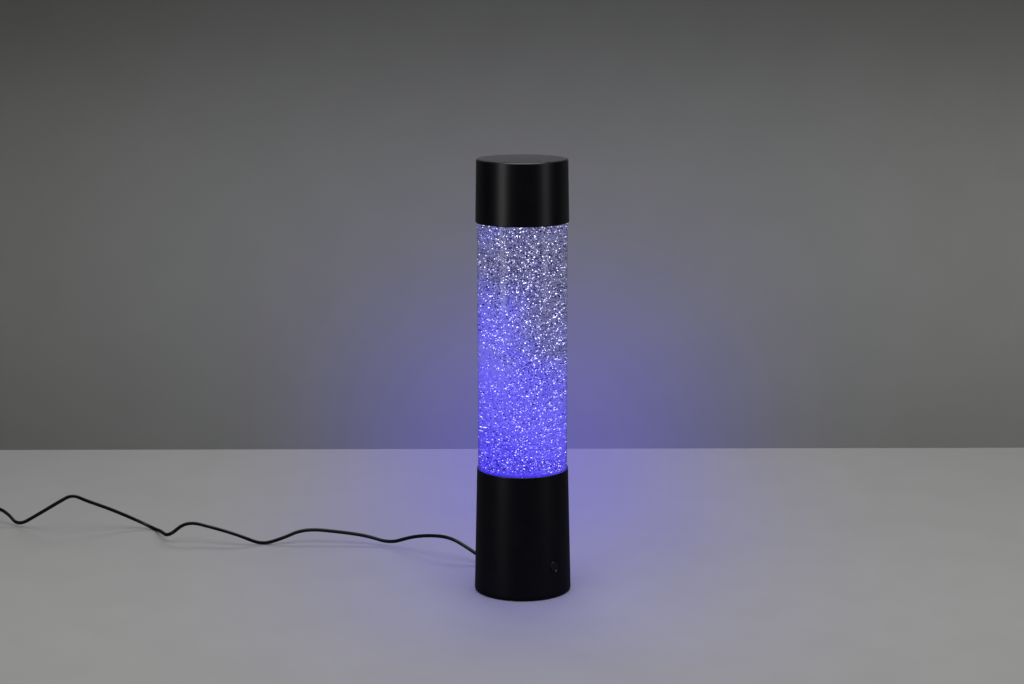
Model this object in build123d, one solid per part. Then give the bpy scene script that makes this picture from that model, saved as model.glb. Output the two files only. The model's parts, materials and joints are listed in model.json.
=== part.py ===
from build123d import *
import os
import random
from math import atan2, cos, degrees, pi, radians, sin, sqrt, tan

# A glitter lamp: a tapered base that holds coloured LEDs, a motor and a magnet, a clear bottle of
# liquid and glitter with a magnetic stirrer in its floor, and a cap that covers the bottle's neck.
# Millimetres. The origin is the centre of the circle that the lamp stands on, +Z is up, -Y is the
# front, and +X is to the right of someone who faces the front. Heights are measured from the table.

# Driving sizes of the whole lamp
lamp_height = 377.6
base_height = 109.0
base_flare = 2.5
bottle_radius = 38.6
cap_height = 53.8
cap_taper = 0.85

# Clearances that several pieces share
cut_over = 1.0
fit_gap = 0.15
press_gap = 0.02
seat_gap = 0.1
thread_gap = 0.03

# Base housing: one tapered moulding, open below, with a deck for the motor and the LEDs
housing_lift = 1.0
housing_wall = 2.4
base_rim_lip = 0.85
housing_edge_round = 0.9
housing_rim_round = 0.35
socket_depth = 21.0
ledge_width = 3.6
ledge_height = 4.0
light_chamber_height = 11.6
deck_thickness = 2.4
deck_hole_radius = 4.2
boss_radius = 3.6
boss_wall_gap = 2.2
boss_height = 20.0
boss_count = 4
boss_rib_thickness = 1.8
wall_overlap = 1.0

# Bottom cover, its feet and its screws
cover_thickness = 3.0
cover_head_recess = 1.7
foot_pad_radius = 5.0
foot_pad_thickness = 2.0
foot_pad_edge_gap = 3.5
foot_pad_count = 4
foot_pad_first_angle = 45.0
foot_pad_chamfer = 0.4
cover_screw_head_radius = 2.7
cover_screw_head_height = 1.5
cover_screw_radius = 1.3
cover_screw_length = 11.0
screw_head_chamfer = 0.5
pilot_extra = 1.5

# Control board on four posts of the bottom cover
board_end_gap = 5.8
board_width = 34.0
board_thickness = 1.6
board_corner = 2.0
board_post_radius = 3.0
board_post_height = 6.0
board_post_inset = 4.0
board_screw_head_radius = 2.2
board_screw_head_height = 1.4
board_screw_radius = 1.1
board_screw_length = 6.0
chip_length = 9.9
chip_width = 3.9
chip_height = 1.5
chip_place_shares = ((-0.13, -0.7), (-0.13, -0.26))
capacitor_radius = 3.2
capacitor_height = 8.0
capacitor_place_shares = (0.4, 0.56)
capacitor_chamfer = 0.5
socket_long = 7.5
socket_short = 5.8
socket_height = 6.0
power_socket_screw_gap = 1.5
power_socket_inset = 0.9
motor_socket_share = 0.24
led_socket_offset = 4.0

# Push button, its switch and the little board that carries it
button_angle = -49.3
button_height = 28.5
button_radius = 4.35
button_proud = 0.2
button_hole_gap = 0.15
button_hole_chamfer = 0.75
button_travel = 0.6
button_edge_chamfer = 0.3
button_dish_radius = 12.0
button_dish_depth = 0.45
button_flange_radius = 5.3
button_flange_thickness = 1.1
button_flange_gap = 0.55
button_stem_radius = 1.7
button_stem_length = 3.0
plunger_radius = 1.7
plunger_length = 3.4
plunger_gap = 0.05
plunger_out = 1.5
switch_side = 6.0
switch_body_height = 3.5
switch_board_width = 15.8
switch_board_height = 17.0
switch_board_thickness = 1.2
switch_wire_run = 10.5
holder_thickness = 1.8
holder_groove = 0.8
holder_inside = 1.35
holder_below = 10.0
holder_above = 10.5
holder_end_stop = 1.6

# Motor, hung under the deck on a soft pad
motor_radius = 12.2
motor_length = 15.0
motor_wall = 0.8
motor_pad_thickness = 1.0
motor_pad_hole = 5.0
motor_nose_radius = 3.2
motor_nose_height = 1.5
bush_radius = 2.2
bush_length = 4.0
bush_running_gap = 0.04
shaft_radius = 1.0
end_cap_thickness = 2.0
end_cap_nose = 1.5
field_magnet_thickness = 2.4
field_magnet_angle = 140.0
field_magnet_length = 9.0
armature_radius = 8.3
armature_length = 7.5
armature_slot = 2.4
armature_web_radius = 3.6
armature_poles = 3
motor_screw_spacing = 17.0
motor_screw_radius = 0.95
motor_screw_head_radius = 1.9
motor_screw_head_height = 1.2

# Magnet carrier on the motor's shaft
carrier_radius = 13.0
carrier_thickness = 5.0
carrier_gap_above_deck = 5.1
magnet_radius = 4.0
magnet_thickness = 3.0
magnet_circle_radius = 8.0

# LED board, its reflector and the window over it
led_board_inner = 15.0
led_board_gap = 1.65
led_board_thickness = 1.6
led_boss_height = 2.6
led_boss_radius = 3.2
led_boss_inset = 4.0
led_screw_count = 3
led_screw_first_angle = 15.0
led_screw_head_radius = 1.9
led_screw_head_height = 1.3
led_screw_radius = 1.0
led_screw_length = 4.0
led_count = 12
led_circle_radius = 21.5
led_side = 5.0
led_height = 1.6
reflector_foot_width = 3.0
reflector_gap = 0.25
reflector_top_wall = 0.8
window_thickness = 2.0
window_edge_gap = 0.25
seat_ring_width = 7.5
seat_ring_thickness = 1.5
lead_hole_radius = 3.2
lead_hole_circle_radius = 20.0
lead_hole_angle = 200.0

# Bottle and what it holds
bottle_wall = 2.0
bottle_floor_corner = 3.0
bottle_neck_radius = 15.5
bottle_neck_wall = 2.2
bottle_neck_height = 13.0
shoulder_rise = 6.0
shoulder_round = 14.0
neck_root_round = 3.0
neck_top_below_cap = 13.6
liquid_gap = 0.1
liquid_level_below_neck_root = 4.0
pin_boss_radius = 3.2
pin_boss_height = 1.5
pin_radius = 1.2
pin_length = 9.0
pin_seat_depth = 1.0
pin_tip_chamfer = 0.4
stirrer_running_gap = 0.05
stirrer_end_gap = 0.2
stirrer_disc_radius = 14.0
stirrer_disc_thickness = 4.0
stirrer_hub_radius = 3.6
stirrer_hub_height = 4.8
paddle_reach = 21.0
paddle_top_reach = 17.0
paddle_height = 6.8
paddle_thickness = 1.6
paddle_count = 4
stirrer_water_gap = 0.5
flake_count = 130
flake_radius = 1.1
flake_thickness = 0.2
flake_wall_gap = 2.0
flake_spacing = 2.9
flake_seed = 7

# Closure on the neck and the cap over it
closure_wall = 3.35
closure_top = 2.2
closure_skirt = 10.5
closure_edge_round = 1.0
seal_thickness = 1.2
cap_lip = 1.25
cap_edge_round = 1.7
cap_rim_round = 0.5
cap_wall = 1.6
cap_top_wall = 2.0
cap_socket_depth = 17.0
cap_rib_count = 6
cap_rib_thickness = 1.5
cap_rib_clearance = 6.0
cap_rib_gap = 0.5

# Inner leads
wire_radius = 0.55
motor_wire_spacing = 5.0
led_wire_spacing = 1.3
led_wire_count = 4
switch_wire_spacing = 2.5
switch_wire_above = 3.0
motor_wire_bow = 8.0
motor_wire_drop_share = 0.25
led_wire_low_share = 0.3
led_wire_high_share = 0.6

# Power lead: flat two-core flex, drawn round at its full width
lead_radius = 1.7
outlet_angle = 115.0
outlet_height = 9.0
relief_length = 9.7
relief_hole_radius = 3.3
relief_neck_radius = 3.2
relief_collar_radius = 4.2
relief_collar_thickness = 1.2
relief_flange_radius = 4.3
relief_flange_thickness = 1.5
relief_flange_gap = 0.4
relief_tail_radius = 3.0
relief_tip_radius = 2.3
relief_bore_gap = 0.05
inner_lead_straight = 8.5
inner_lead_rise_gap = 6.0
lead_straight = 19.0
arc_share = 0.45

# Coil of the length that is put away, its tie and the plug
coil_centre_x = -549.0
coil_centre_y = 207.0
coil_radius = 26.4
coil_pitch = 3.9
coil_turns_in = 3
tie_thickness = 0.5
tie_width = 5.0
tie_under_gap = 0.1
tie_side_gap = 0.35
tie_corner = 1.0
plug_x = -586.5
plug_y = 200.0
plug_width = 15.6
plug_thickness = 8.0
plug_length = 24.0
plug_round = 1.8
plug_tail_length = 9.0
plug_tail_radius = 2.3
plug_tail_end_radius = 3.3
shell_width = 12.0
shell_height = 4.5
shell_length = 18.7
shell_wall = 0.4
shell_window_width = 2.5
shell_window_length = 2.0
shell_window_spacing = 5.2
shell_window_reach = 11.0
tongue_thickness = 1.9
tongue_short = 0.6
contact_count = 4
contact_pitch = 2.3
contact_width = 1.1
contact_thickness = 0.2
contact_length = 8.0

# Heights and radii that follow from the sizes above
socket_radius = bottle_radius + fit_gap
base_rim_radius = socket_radius + base_rim_lip
base_foot_radius = base_rim_radius + base_flare
cap_rim_radius = socket_radius + cap_lip
cap_top_radius = cap_rim_radius - cap_taper
cover_low = housing_lift
cover_top = cover_low + cover_thickness
board_low = cover_top + board_post_height
board_top = board_low + board_thickness
socket_top = board_top + socket_height
ledge_top = base_height - socket_depth
ledge_low = ledge_top - ledge_height
ledge_inner = socket_radius - ledge_width
deck_top = ledge_top - light_chamber_height
deck_low = deck_top - deck_thickness
led_board_outer = ledge_inner - led_board_gap
led_boss_circle_radius = led_board_outer - led_boss_inset
reflector_outer = ledge_inner - reflector_gap
reflector_foot_inner = reflector_outer - reflector_foot_width
led_board_low = deck_top + led_boss_height
led_board_top = led_board_low + led_board_thickness
window_top = ledge_top + window_thickness
bottle_low = window_top + seat_ring_thickness
bottle_floor_top = bottle_low + bottle_wall
bottle_inner = bottle_radius - bottle_wall
neck_inner = bottle_neck_radius - bottle_neck_wall
closure_radius = bottle_neck_radius + fit_gap + closure_wall
cap_rib_inner = closure_radius + cap_rib_clearance
neck_top = lamp_height - neck_top_below_cap
neck_root = neck_top - bottle_neck_height
shoulder_top = neck_root - shoulder_rise
liquid_level = neck_root - liquid_level_below_neck_root
pin_boss_top = bottle_floor_top + pin_boss_height
pin_low = pin_boss_top - pin_boss_height - pin_seat_depth
pin_top = pin_low + pin_length
stirrer_low = pin_boss_top + stirrer_end_gap
stirrer_disc_top = stirrer_low + stirrer_disc_thickness
paddle_top = stirrer_disc_top + paddle_height
cap_low = lamp_height - cap_height
motor_top = deck_low - motor_pad_thickness
motor_low = motor_top - motor_length
shaft_low = motor_low - end_cap_nose + motor_wall
carrier_low = deck_top + carrier_gap_above_deck
carrier_top = carrier_low + carrier_thickness
coil_low = tie_thickness + tie_under_gap + lead_radius
coil_high = coil_low + coil_pitch
plug_height = plug_thickness / 2
inner_lead_height = board_top + socket_height / 2


def housing_outer(height):
    """Radius of the base's outside at a height."""
    share = (height - housing_lift) / (base_height - housing_lift)
    return base_foot_radius + (base_rim_radius - base_foot_radius) * share


def housing_inner(height):
    """Radius of the base's inner wall at a height."""
    return housing_outer(height) - housing_wall


def cap_outer(height):
    """Radius of the cap's outside at a height."""
    share = (height - cap_low) / cap_height
    return cap_rim_radius + (cap_top_radius - cap_rim_radius) * share


# Places that follow from the housing's tapered wall
boss_circle_radius = housing_inner(cover_top + boss_height) - boss_wall_gap - boss_radius
foot_pad_circle_radius = housing_inner(cover_top) - foot_pad_edge_gap - foot_pad_radius
board_length = 2 * (boss_circle_radius - boss_radius - board_end_gap)
board_post_x = board_length / 2 - board_post_inset
board_post_y = board_width / 2 - board_post_inset
power_socket_x = power_socket_screw_gap + board_screw_head_radius + socket_long / 2 - board_post_x
power_socket_face = board_width / 2 - power_socket_inset
motor_socket_y = board_width / 2 * motor_socket_share
button_face_reach = housing_outer(button_height) + button_proud
button_wall_reach = sqrt(housing_inner(button_height) ** 2 - button_flange_radius ** 2)
flange_out_reach = button_wall_reach - button_flange_gap
flange_in_reach = flange_out_reach - button_flange_thickness
stem_end_reach = flange_in_reach - button_stem_length
switch_face_reach = stem_end_reach - plunger_out
switch_board_reach = switch_face_reach - switch_body_height - switch_board_thickness
switch_socket_reach = switch_board_reach - switch_wire_run
holder_reach = switch_board_reach - holder_inside


def disc(radius, low, high):
    """A solid cylinder about Z between two heights."""
    return Pos(0, 0, low) * Cylinder(radius, high - low, align=(Align.CENTER, Align.CENTER, Align.MIN))


def ring(outer, inner, low, high):
    """A tube about Z between two heights."""
    return disc(outer, low, high) - disc(inner, low - cut_over, high + cut_over)


def block(width, depth, low, high, corner=0):
    """A box about Z between two heights, with round upright corners if a corner radius is given."""
    outline = RectangleRounded(width, depth, corner) if corner else Rectangle(width, depth)
    return Pos(0, 0, low) * extrude(outline, high - low)


def polar(radius, angle, height=0.0):
    """A point on a circle about Z."""
    return (radius * cos(radians(angle)), radius * sin(radians(angle)), height)


def spread(count, first_angle=0.0):
    """Evenly spaced angles."""
    return [first_angle + 360 / count * index for index in range(count)]


def turned(points, radii):
    """A solid of revolution about Z from an outline of (radius, height) points and corner radii."""
    outline = make_face(FilletPolyline(*[(x, y) for x, y in points], radius=radii, close=True))
    return revolve(Plane.XZ * outline, Axis.Z)


def radial_frame(angle, height, reach=0.0):
    """A plane whose Z points out from the lamp's axis, whose Y is up, at a reach from the axis."""
    outward = Vector(cos(radians(angle)), sin(radians(angle)), 0)
    across = Vector(-sin(radians(angle)), cos(radians(angle)), 0)
    return Plane(origin=outward * reach + Vector(0, 0, height), x_dir=across, z_dir=outward)


def screw(head_radius, head_height, shank_radius, shank_length):
    """A round-headed screw that stands on its head, with the head's seat at height 0."""
    head = disc(head_radius, -head_height, 0)
    head = chamfer(head.edges().sort_by(Axis.Z)[0], screw_head_chamfer)
    return head + disc(shank_radius, 0, shank_length)


def arc_radii(points, name):
    """Corner radii of a lead's path: a share of the shorter run over the tangent of half the turn."""
    vectors = [Vector(*point) for point in points]
    radii = []
    for before, corner, after in zip(vectors, vectors[1:], vectors[2:]):
        arriving = corner - before
        leaving = after - corner
        half_turn = radians(arriving.get_angle(leaving)) / 2
        radii.append(arc_share * min(arriving.length, leaving.length) / tan(half_turn))
    print(name, "corner radii", [round(radius, 1) for radius in radii])
    return radii


def lead_tube(points, radius, radii):
    """A round tube along straight runs joined by tangent arcs."""
    path = FilletPolyline(*points, radius=radii)
    start = Plane(origin=path @ 0, z_dir=path % 0)
    tube = sweep(start * Circle(radius), path=path)
    return tube, path.length


def base_housing():
    wall_low = housing_inner(housing_lift)
    points = [
        (base_foot_radius, housing_lift),
        (base_rim_radius, base_height),
        (socket_radius, base_height),
        (socket_radius, ledge_top),
        (ledge_inner, ledge_top),
        (ledge_inner, ledge_low),
        (housing_inner(ledge_low), ledge_low),
        (housing_inner(deck_top), deck_top),
        (deck_hole_radius, deck_top),
        (deck_hole_radius, deck_low),
        (housing_inner(deck_low), deck_low),
        (wall_low, housing_lift),
    ]
    shell = turned(points, [housing_edge_round, housing_rim_round] + [0 for _ in points[2:]])
    for angle in spread(boss_count):
        shell += screw_boss(angle)
    for angle in spread(led_screw_count, led_screw_first_angle):
        place = Pos(*polar(led_boss_circle_radius, angle))
        shell += place * disc(led_boss_radius, deck_top - cut_over, led_board_low)
    for rib in switch_holder():
        shell += rib
    for angle in spread(boss_count):
        pilot_top = cover_top + cover_screw_length - cover_thickness + cover_head_recess + pilot_extra
        pilot = disc(cover_screw_radius + thread_gap, cover_top - cut_over, pilot_top)
        shell -= Pos(*polar(boss_circle_radius, angle)) * pilot
    for angle in spread(led_screw_count, led_screw_first_angle):
        pilot_low = led_board_low - led_screw_length - seat_gap + led_board_thickness
        pilot = disc(led_screw_radius + thread_gap, pilot_low, led_board_low + cut_over)
        shell -= Pos(*polar(led_boss_circle_radius, angle)) * pilot
    for side in (-1, 1):
        hole = disc(motor_screw_radius + seat_gap, deck_low - cut_over, deck_top + cut_over)
        shell -= Pos(side * motor_screw_spacing / 2, 0, 0) * hole
    lead_hole = disc(lead_hole_radius, deck_low - cut_over, deck_top + cut_over)
    shell -= Pos(*polar(lead_hole_circle_radius, lead_hole_angle)) * lead_hole
    shell -= button_opening()
    reach = housing_inner(outlet_height) - housing_wall
    lead_exit = extrude(Circle(relief_hole_radius), base_foot_radius - reach + cut_over)
    shell -= radial_frame(outlet_angle, outlet_height, reach) * lead_exit
    return shell


def screw_boss(angle):
    """A boss for a cover screw, tied to the wall by a rib."""
    boss_top = cover_top + boss_height
    boss = Pos(boss_circle_radius, 0, 0) * disc(boss_radius, cover_top, boss_top)
    reach = housing_inner(boss_top) + wall_overlap - boss_circle_radius
    rib = Pos(boss_circle_radius + reach / 2, 0, 0) * block(reach, boss_rib_thickness, cover_top, boss_top)
    return Rot(0, 0, angle) * (boss + rib)


def switch_holder():
    """Two grooved ribs that hold the switch's board behind the button, open at the bottom."""
    frame = radial_frame(button_angle, button_height)
    inner_edge = switch_board_width / 2 - holder_groove + fit_gap
    rib_length = housing_inner(button_height) - holder_reach - fit_gap
    ribs = []
    for side in (-1, 1):
        across = side * (inner_edge + holder_thickness / 2)
        middle = (holder_above - holder_below) / 2
        rib = Pos(across, middle, holder_reach) * extrude(
            Rectangle(holder_thickness, holder_above + holder_below), rib_length
        )
        groove_height = holder_above + holder_below - holder_end_stop
        groove_middle = middle - holder_end_stop / 2 - cut_over / 2
        groove_across = side * (inner_edge + holder_groove / 2 - cut_over / 2)
        groove = Pos(groove_across, groove_middle, switch_board_reach - seat_gap) * extrude(
            Rectangle(holder_groove + cut_over, groove_height + cut_over),
            switch_board_thickness + 2 * seat_gap,
        )
        ribs.append(frame * (rib - groove))
    return ribs


def button_opening():
    """The button's round hole, with a chamfer at the outside."""
    hole_radius = button_radius + button_hole_gap
    surface = housing_outer(button_height)
    start = housing_inner(button_height) - housing_wall
    hole = extrude(Circle(hole_radius), surface - start + cut_over)
    mouth = Pos(0, 0, surface - start - button_hole_chamfer) * Cone(
        hole_radius,
        hole_radius + button_hole_chamfer + cut_over,
        button_hole_chamfer + cut_over,
        align=(Align.CENTER, Align.CENTER, Align.MIN),
    )
    return radial_frame(button_angle, button_height, start) * (hole + mouth)


def button_cap():
    cap = Pos(0, 0, flange_out_reach) * extrude(Circle(button_radius), button_face_reach - flange_out_reach)
    cap = chamfer(cap.edges().sort_by(Axis.Z)[-1], button_edge_chamfer)
    cap += Pos(0, 0, flange_in_reach) * extrude(Circle(button_flange_radius), button_flange_thickness)
    cap += Pos(0, 0, stem_end_reach) * extrude(Circle(button_stem_radius), button_stem_length)
    cap -= Pos(0, 0, button_face_reach - button_dish_depth + button_dish_radius) * Sphere(button_dish_radius)
    return radial_frame(button_angle, button_height) * cap


def switch_plunger():
    plunger = Pos(0, 0, stem_end_reach - plunger_length) * extrude(Circle(plunger_radius), plunger_length)
    return radial_frame(button_angle, button_height) * plunger


def switch_body():
    body = Pos(0, 0, switch_face_reach - switch_body_height) * extrude(
        Rectangle(switch_side, switch_side), switch_body_height
    )
    well_low = stem_end_reach - plunger_length - button_travel - seat_gap
    well = Pos(0, 0, well_low) * extrude(Circle(plunger_radius + plunger_gap), plunger_length)
    return radial_frame(button_angle, button_height) * (body - well)


def switch_board():
    board = Pos(0, 0, switch_board_reach) * extrude(
        Rectangle(switch_board_width, switch_board_height), switch_board_thickness
    )
    return radial_frame(button_angle, button_height) * board


def bottom_cover():
    plate = disc(housing_inner(cover_top) - fit_gap, cover_low, cover_top)
    for x in (-board_post_x, board_post_x):
        for y in (-board_post_y, board_post_y):
            plate += Pos(x, y, 0) * disc(board_post_radius, cover_top - cut_over, board_low)
            pilot = disc(
                board_screw_radius + thread_gap,
                board_top - board_screw_length - pilot_extra,
                board_low + cut_over,
            )
            plate -= Pos(x, y, 0) * pilot
    for angle in spread(boss_count):
        place = Pos(*polar(boss_circle_radius, angle))
        plate -= place * disc(cover_screw_radius + seat_gap, cover_low - cut_over, cover_top + cut_over)
        recess_top = cover_low + cover_head_recess
        plate -= place * disc(cover_screw_head_radius + fit_gap, cover_low - cut_over, recess_top)
    recess = foot_pad_thickness - housing_lift
    for angle in spread(foot_pad_count, foot_pad_first_angle):
        hollow = disc(foot_pad_radius + seat_gap, cover_low - cut_over, cover_low + recess)
        plate -= Pos(*polar(foot_pad_circle_radius, angle)) * hollow
    return plate


def rubber_feet():
    pad = disc(foot_pad_radius, 0, foot_pad_thickness)
    pad = chamfer(pad.edges().sort_by(Axis.Z)[0], foot_pad_chamfer)
    angles = spread(foot_pad_count, foot_pad_first_angle)
    return [Pos(*polar(foot_pad_circle_radius, angle)) * pad for angle in angles]


def cover_screws():
    piece = screw(cover_screw_head_radius, cover_screw_head_height, cover_screw_radius, cover_screw_length)
    seat = cover_low + cover_head_recess
    return [Pos(*polar(boss_circle_radius, angle, seat)) * piece for angle in spread(boss_count)]


def control_board():
    board = block(board_length, board_width, board_low, board_top, board_corner)
    for x in (-board_post_x, board_post_x):
        for y in (-board_post_y, board_post_y):
            hole = disc(board_screw_radius + seat_gap, board_low - cut_over, board_top + cut_over)
            board -= Pos(x, y, 0) * hole
    return board


def board_screws():
    piece = screw(board_screw_head_radius, board_screw_head_height, board_screw_radius, board_screw_length)
    flipped = Rot(180, 0, 0) * piece
    spots = [(x, y) for x in (-board_post_x, board_post_x) for y in (-board_post_y, board_post_y)]
    return [Pos(x, y, board_top) * flipped for x, y in spots]


def board_chips():
    chip = block(chip_length, chip_width, board_top, board_top + chip_height)
    places = [(board_length / 2 * x, board_width / 2 * y) for x, y in chip_place_shares]
    return [Pos(x, y, 0) * chip for x, y in places]


def board_capacitor():
    can = disc(capacitor_radius, board_top, board_top + capacitor_height)
    can = chamfer(can.edges().sort_by(Axis.Z)[-1], capacitor_chamfer)
    x_share, y_share = capacitor_place_shares
    return Pos(board_length / 2 * x_share, board_width / 2 * y_share, 0) * can


def board_sockets():
    lead_x, lead_y, _ = polar(lead_hole_circle_radius, lead_hole_angle)
    switch_x, switch_y, _ = polar(switch_socket_reach, button_angle)
    wide = block(socket_long, socket_short, board_top, socket_top)
    tall = block(socket_short, socket_long, board_top, socket_top)
    return [
        Pos(power_socket_x, power_socket_face - socket_short / 2, 0) * wide,
        Pos(0, motor_socket_y, 0) * wide,
        Pos(lead_x + led_socket_offset, lead_y, 0) * tall,
        Pos(switch_x, switch_y, 0) * wide,
    ]


def motor_pad():
    pad = ring(motor_radius, motor_pad_hole, motor_top, deck_low)
    for side in (-1, 1):
        hole = disc(motor_screw_radius + seat_gap, motor_top - cut_over, deck_low + cut_over)
        pad -= Pos(side * motor_screw_spacing / 2, 0, 0) * hole
    return pad


def motor_can():
    inner = motor_radius - motor_wall
    can = disc(motor_radius, motor_low, motor_top) - disc(inner, motor_low - cut_over, motor_top - motor_wall)
    nose_top = motor_top + motor_nose_height
    can += disc(motor_nose_radius, nose_top - bush_length, nose_top)
    can -= disc(bush_radius + press_gap, nose_top - bush_length - cut_over, nose_top + cut_over)
    for side in (-1, 1):
        hole = disc(motor_screw_radius + thread_gap, motor_top - motor_wall - cut_over, motor_top + cut_over)
        can -= Pos(side * motor_screw_spacing / 2, 0, 0) * hole
    return can


def motor_bushes():
    bore = shaft_radius + bush_running_gap
    nose_top = motor_top + motor_nose_height
    front = ring(bush_radius, bore, nose_top - bush_length, nose_top)
    rear_low = motor_low - end_cap_nose + motor_wall
    rear = ring(bush_radius, bore, rear_low, motor_low + end_cap_thickness)
    return [front, rear]


def motor_end_cap():
    inner = motor_radius - motor_wall - press_gap
    cap = disc(inner, motor_low, motor_low + end_cap_thickness)
    cap += disc(motor_nose_radius, motor_low - end_cap_nose, motor_low + end_cap_thickness)
    rear_low = motor_low - end_cap_nose + motor_wall
    cap -= disc(bush_radius + press_gap, rear_low, motor_low + end_cap_thickness + cut_over)
    return cap


def motor_field_magnets():
    outer = motor_radius - motor_wall - press_gap
    low = motor_low + (motor_length - field_magnet_length) / 2
    outline = Pos(outer - field_magnet_thickness / 2, low + field_magnet_length / 2) * Rectangle(
        field_magnet_thickness, field_magnet_length
    )
    magnet = revolve(Plane.XZ * outline, Axis.Z, field_magnet_angle)
    first = -field_magnet_angle / 2
    return [Rot(0, 0, first) * magnet, Rot(0, 0, first + 180) * magnet]


def motor_armature():
    low = motor_low + (motor_length - armature_length) / 2
    core = disc(armature_radius, low, low + armature_length)
    for angle in spread(armature_poles):
        slot_length = armature_radius - armature_web_radius + cut_over
        slot = Pos(armature_web_radius + slot_length / 2, 0, 0) * block(
            slot_length, armature_slot, low - cut_over, low + armature_length + cut_over
        )
        core -= Rot(0, 0, angle) * slot
    core -= disc(shaft_radius + press_gap, low - cut_over, low + armature_length + cut_over)
    return core


def motor_shaft():
    return disc(shaft_radius, shaft_low, carrier_top)


def motor_screws():
    length = deck_thickness + motor_pad_thickness + motor_wall
    piece = screw(motor_screw_head_radius, motor_screw_head_height, motor_screw_radius, length)
    flipped = Rot(180, 0, 0) * piece
    return [Pos(side * motor_screw_spacing / 2, 0, deck_top) * flipped for side in (-1, 1)]


def magnet_carrier():
    carrier = disc(carrier_radius, carrier_low, carrier_top)
    carrier -= disc(shaft_radius + press_gap, carrier_low - cut_over, carrier_top + cut_over)
    for side in (-1, 1):
        pocket = disc(magnet_radius + press_gap, carrier_top - magnet_thickness, carrier_top + cut_over)
        carrier -= Pos(side * magnet_circle_radius, 0, 0) * pocket
    return carrier


def carrier_magnets():
    magnet = disc(magnet_radius, carrier_top - magnet_thickness, carrier_top)
    return [Pos(side * magnet_circle_radius, 0, 0) * magnet for side in (-1, 1)]


def led_board():
    board = ring(led_board_outer, led_board_inner, led_board_low, led_board_top)
    for angle in spread(led_screw_count, led_screw_first_angle):
        hole = disc(led_screw_radius + seat_gap, led_board_low - cut_over, led_board_top + cut_over)
        board -= Pos(*polar(led_boss_circle_radius, angle)) * hole
    return board


def led_emitters():
    emitter = block(led_side, led_side, led_board_top, led_board_top + led_height)
    return [Rot(0, 0, angle) * Pos(led_circle_radius, 0, 0) * emitter for angle in spread(led_count)]


def led_board_screws():
    piece = screw(led_screw_head_radius, led_screw_head_height, led_screw_radius, led_screw_length)
    flipped = Rot(180, 0, 0) * piece
    angles = spread(led_screw_count, led_screw_first_angle)
    return [Pos(*polar(led_boss_circle_radius, angle, led_board_top)) * flipped for angle in angles]


def reflector_cup():
    top = ledge_top - seat_gap
    points = [
        (reflector_foot_inner, led_board_top),
        (reflector_outer, led_board_top),
        (reflector_outer, top),
        (reflector_outer - reflector_top_wall, top),
    ]
    return turned(points, [0 for _ in points])


def light_window():
    return disc(socket_radius - window_edge_gap, ledge_top, window_top)


def seat_ring():
    outer = socket_radius - window_edge_gap
    return ring(outer, outer - seat_ring_width, window_top, bottle_low)


def bottle():
    points = [
        (0, bottle_low),
        (bottle_radius, bottle_low),
        (bottle_radius, shoulder_top),
        (bottle_neck_radius, neck_root),
        (bottle_neck_radius, neck_top),
        (neck_inner, neck_top),
        (neck_inner, neck_root - bottle_wall),
        (bottle_inner, shoulder_top - bottle_wall),
        (bottle_inner, bottle_floor_top),
        (pin_boss_radius, bottle_floor_top),
        (pin_boss_radius, pin_boss_top),
        (pin_radius + press_gap, pin_boss_top),
        (pin_radius + press_gap, pin_low),
        (0, pin_low),
    ]
    floor_inside = bottle_floor_corner - bottle_wall
    shoulder_inside = shoulder_round - bottle_wall
    radii = [0, bottle_floor_corner, shoulder_round, neck_root_round, 0, 0, neck_root_round]
    radii += [shoulder_inside, floor_inside, 0, 0, 0, 0, 0]
    return turned(points, radii)


def stirrer_space():
    """The space that the turning stirrer sweeps, with water all round it."""
    gap = stirrer_water_gap
    disc_edge = stirrer_disc_radius + gap
    reach = paddle_reach + gap
    points = [
        (0, bottle_floor_top - cut_over),
        (disc_edge, bottle_floor_top - cut_over),
        (disc_edge, stirrer_disc_top - gap),
        (reach, stirrer_disc_top - gap),
        (reach, stirrer_disc_top + gap),
        (paddle_top_reach + gap, paddle_top + gap),
        (0, paddle_top + gap),
    ]
    return turned(points, [0 for _ in points])


def glitter_liquid(flakes):
    gap = liquid_gap
    low = bottle_floor_top + gap
    side = bottle_inner - gap
    neck = neck_inner - gap
    points = [
        (0, low),
        (side, low),
        (side, shoulder_top - bottle_wall - gap),
        (neck, neck_root - bottle_wall - gap),
        (neck, neck_top),
        (0, neck_top),
    ]
    radii = [0, bottle_floor_corner - bottle_wall, shoulder_round - bottle_wall, 0, 0, 0]
    inside = turned(points, radii)
    liquid = inside & disc(bottle_radius, bottle_low, liquid_level)
    liquid -= stirrer_space()
    return liquid - flakes


def glitter_flakes():
    """A sample of the flakes: thin hexagons at any tilt, far enough apart that none touch."""
    draw = random.Random(flake_seed)
    low = paddle_top + stirrer_water_gap + flake_wall_gap
    high = shoulder_top - bottle_wall - shoulder_round
    reach = bottle_inner - flake_wall_gap
    shape = extrude(RegularPolygon(flake_radius, 6), flake_thickness)
    places = []
    flakes = []
    while len(flakes) < flake_count:
        x, y, _ = polar(reach * sqrt(draw.random()), draw.uniform(0, 360))
        place = Vector(x, y, draw.uniform(low, high))
        tilt = Rot(draw.uniform(0, 180), draw.uniform(0, 180), draw.uniform(0, 180))
        if all((place - other).length > flake_spacing for other in places):
            places.append(place)
            flakes.append(Pos(place) * tilt * shape)
    return flakes


def stirrer_pin():
    pin = disc(pin_radius, pin_low, pin_top)
    return chamfer(pin.edges().sort_by(Axis.Z)[-1], pin_tip_chamfer)


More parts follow.
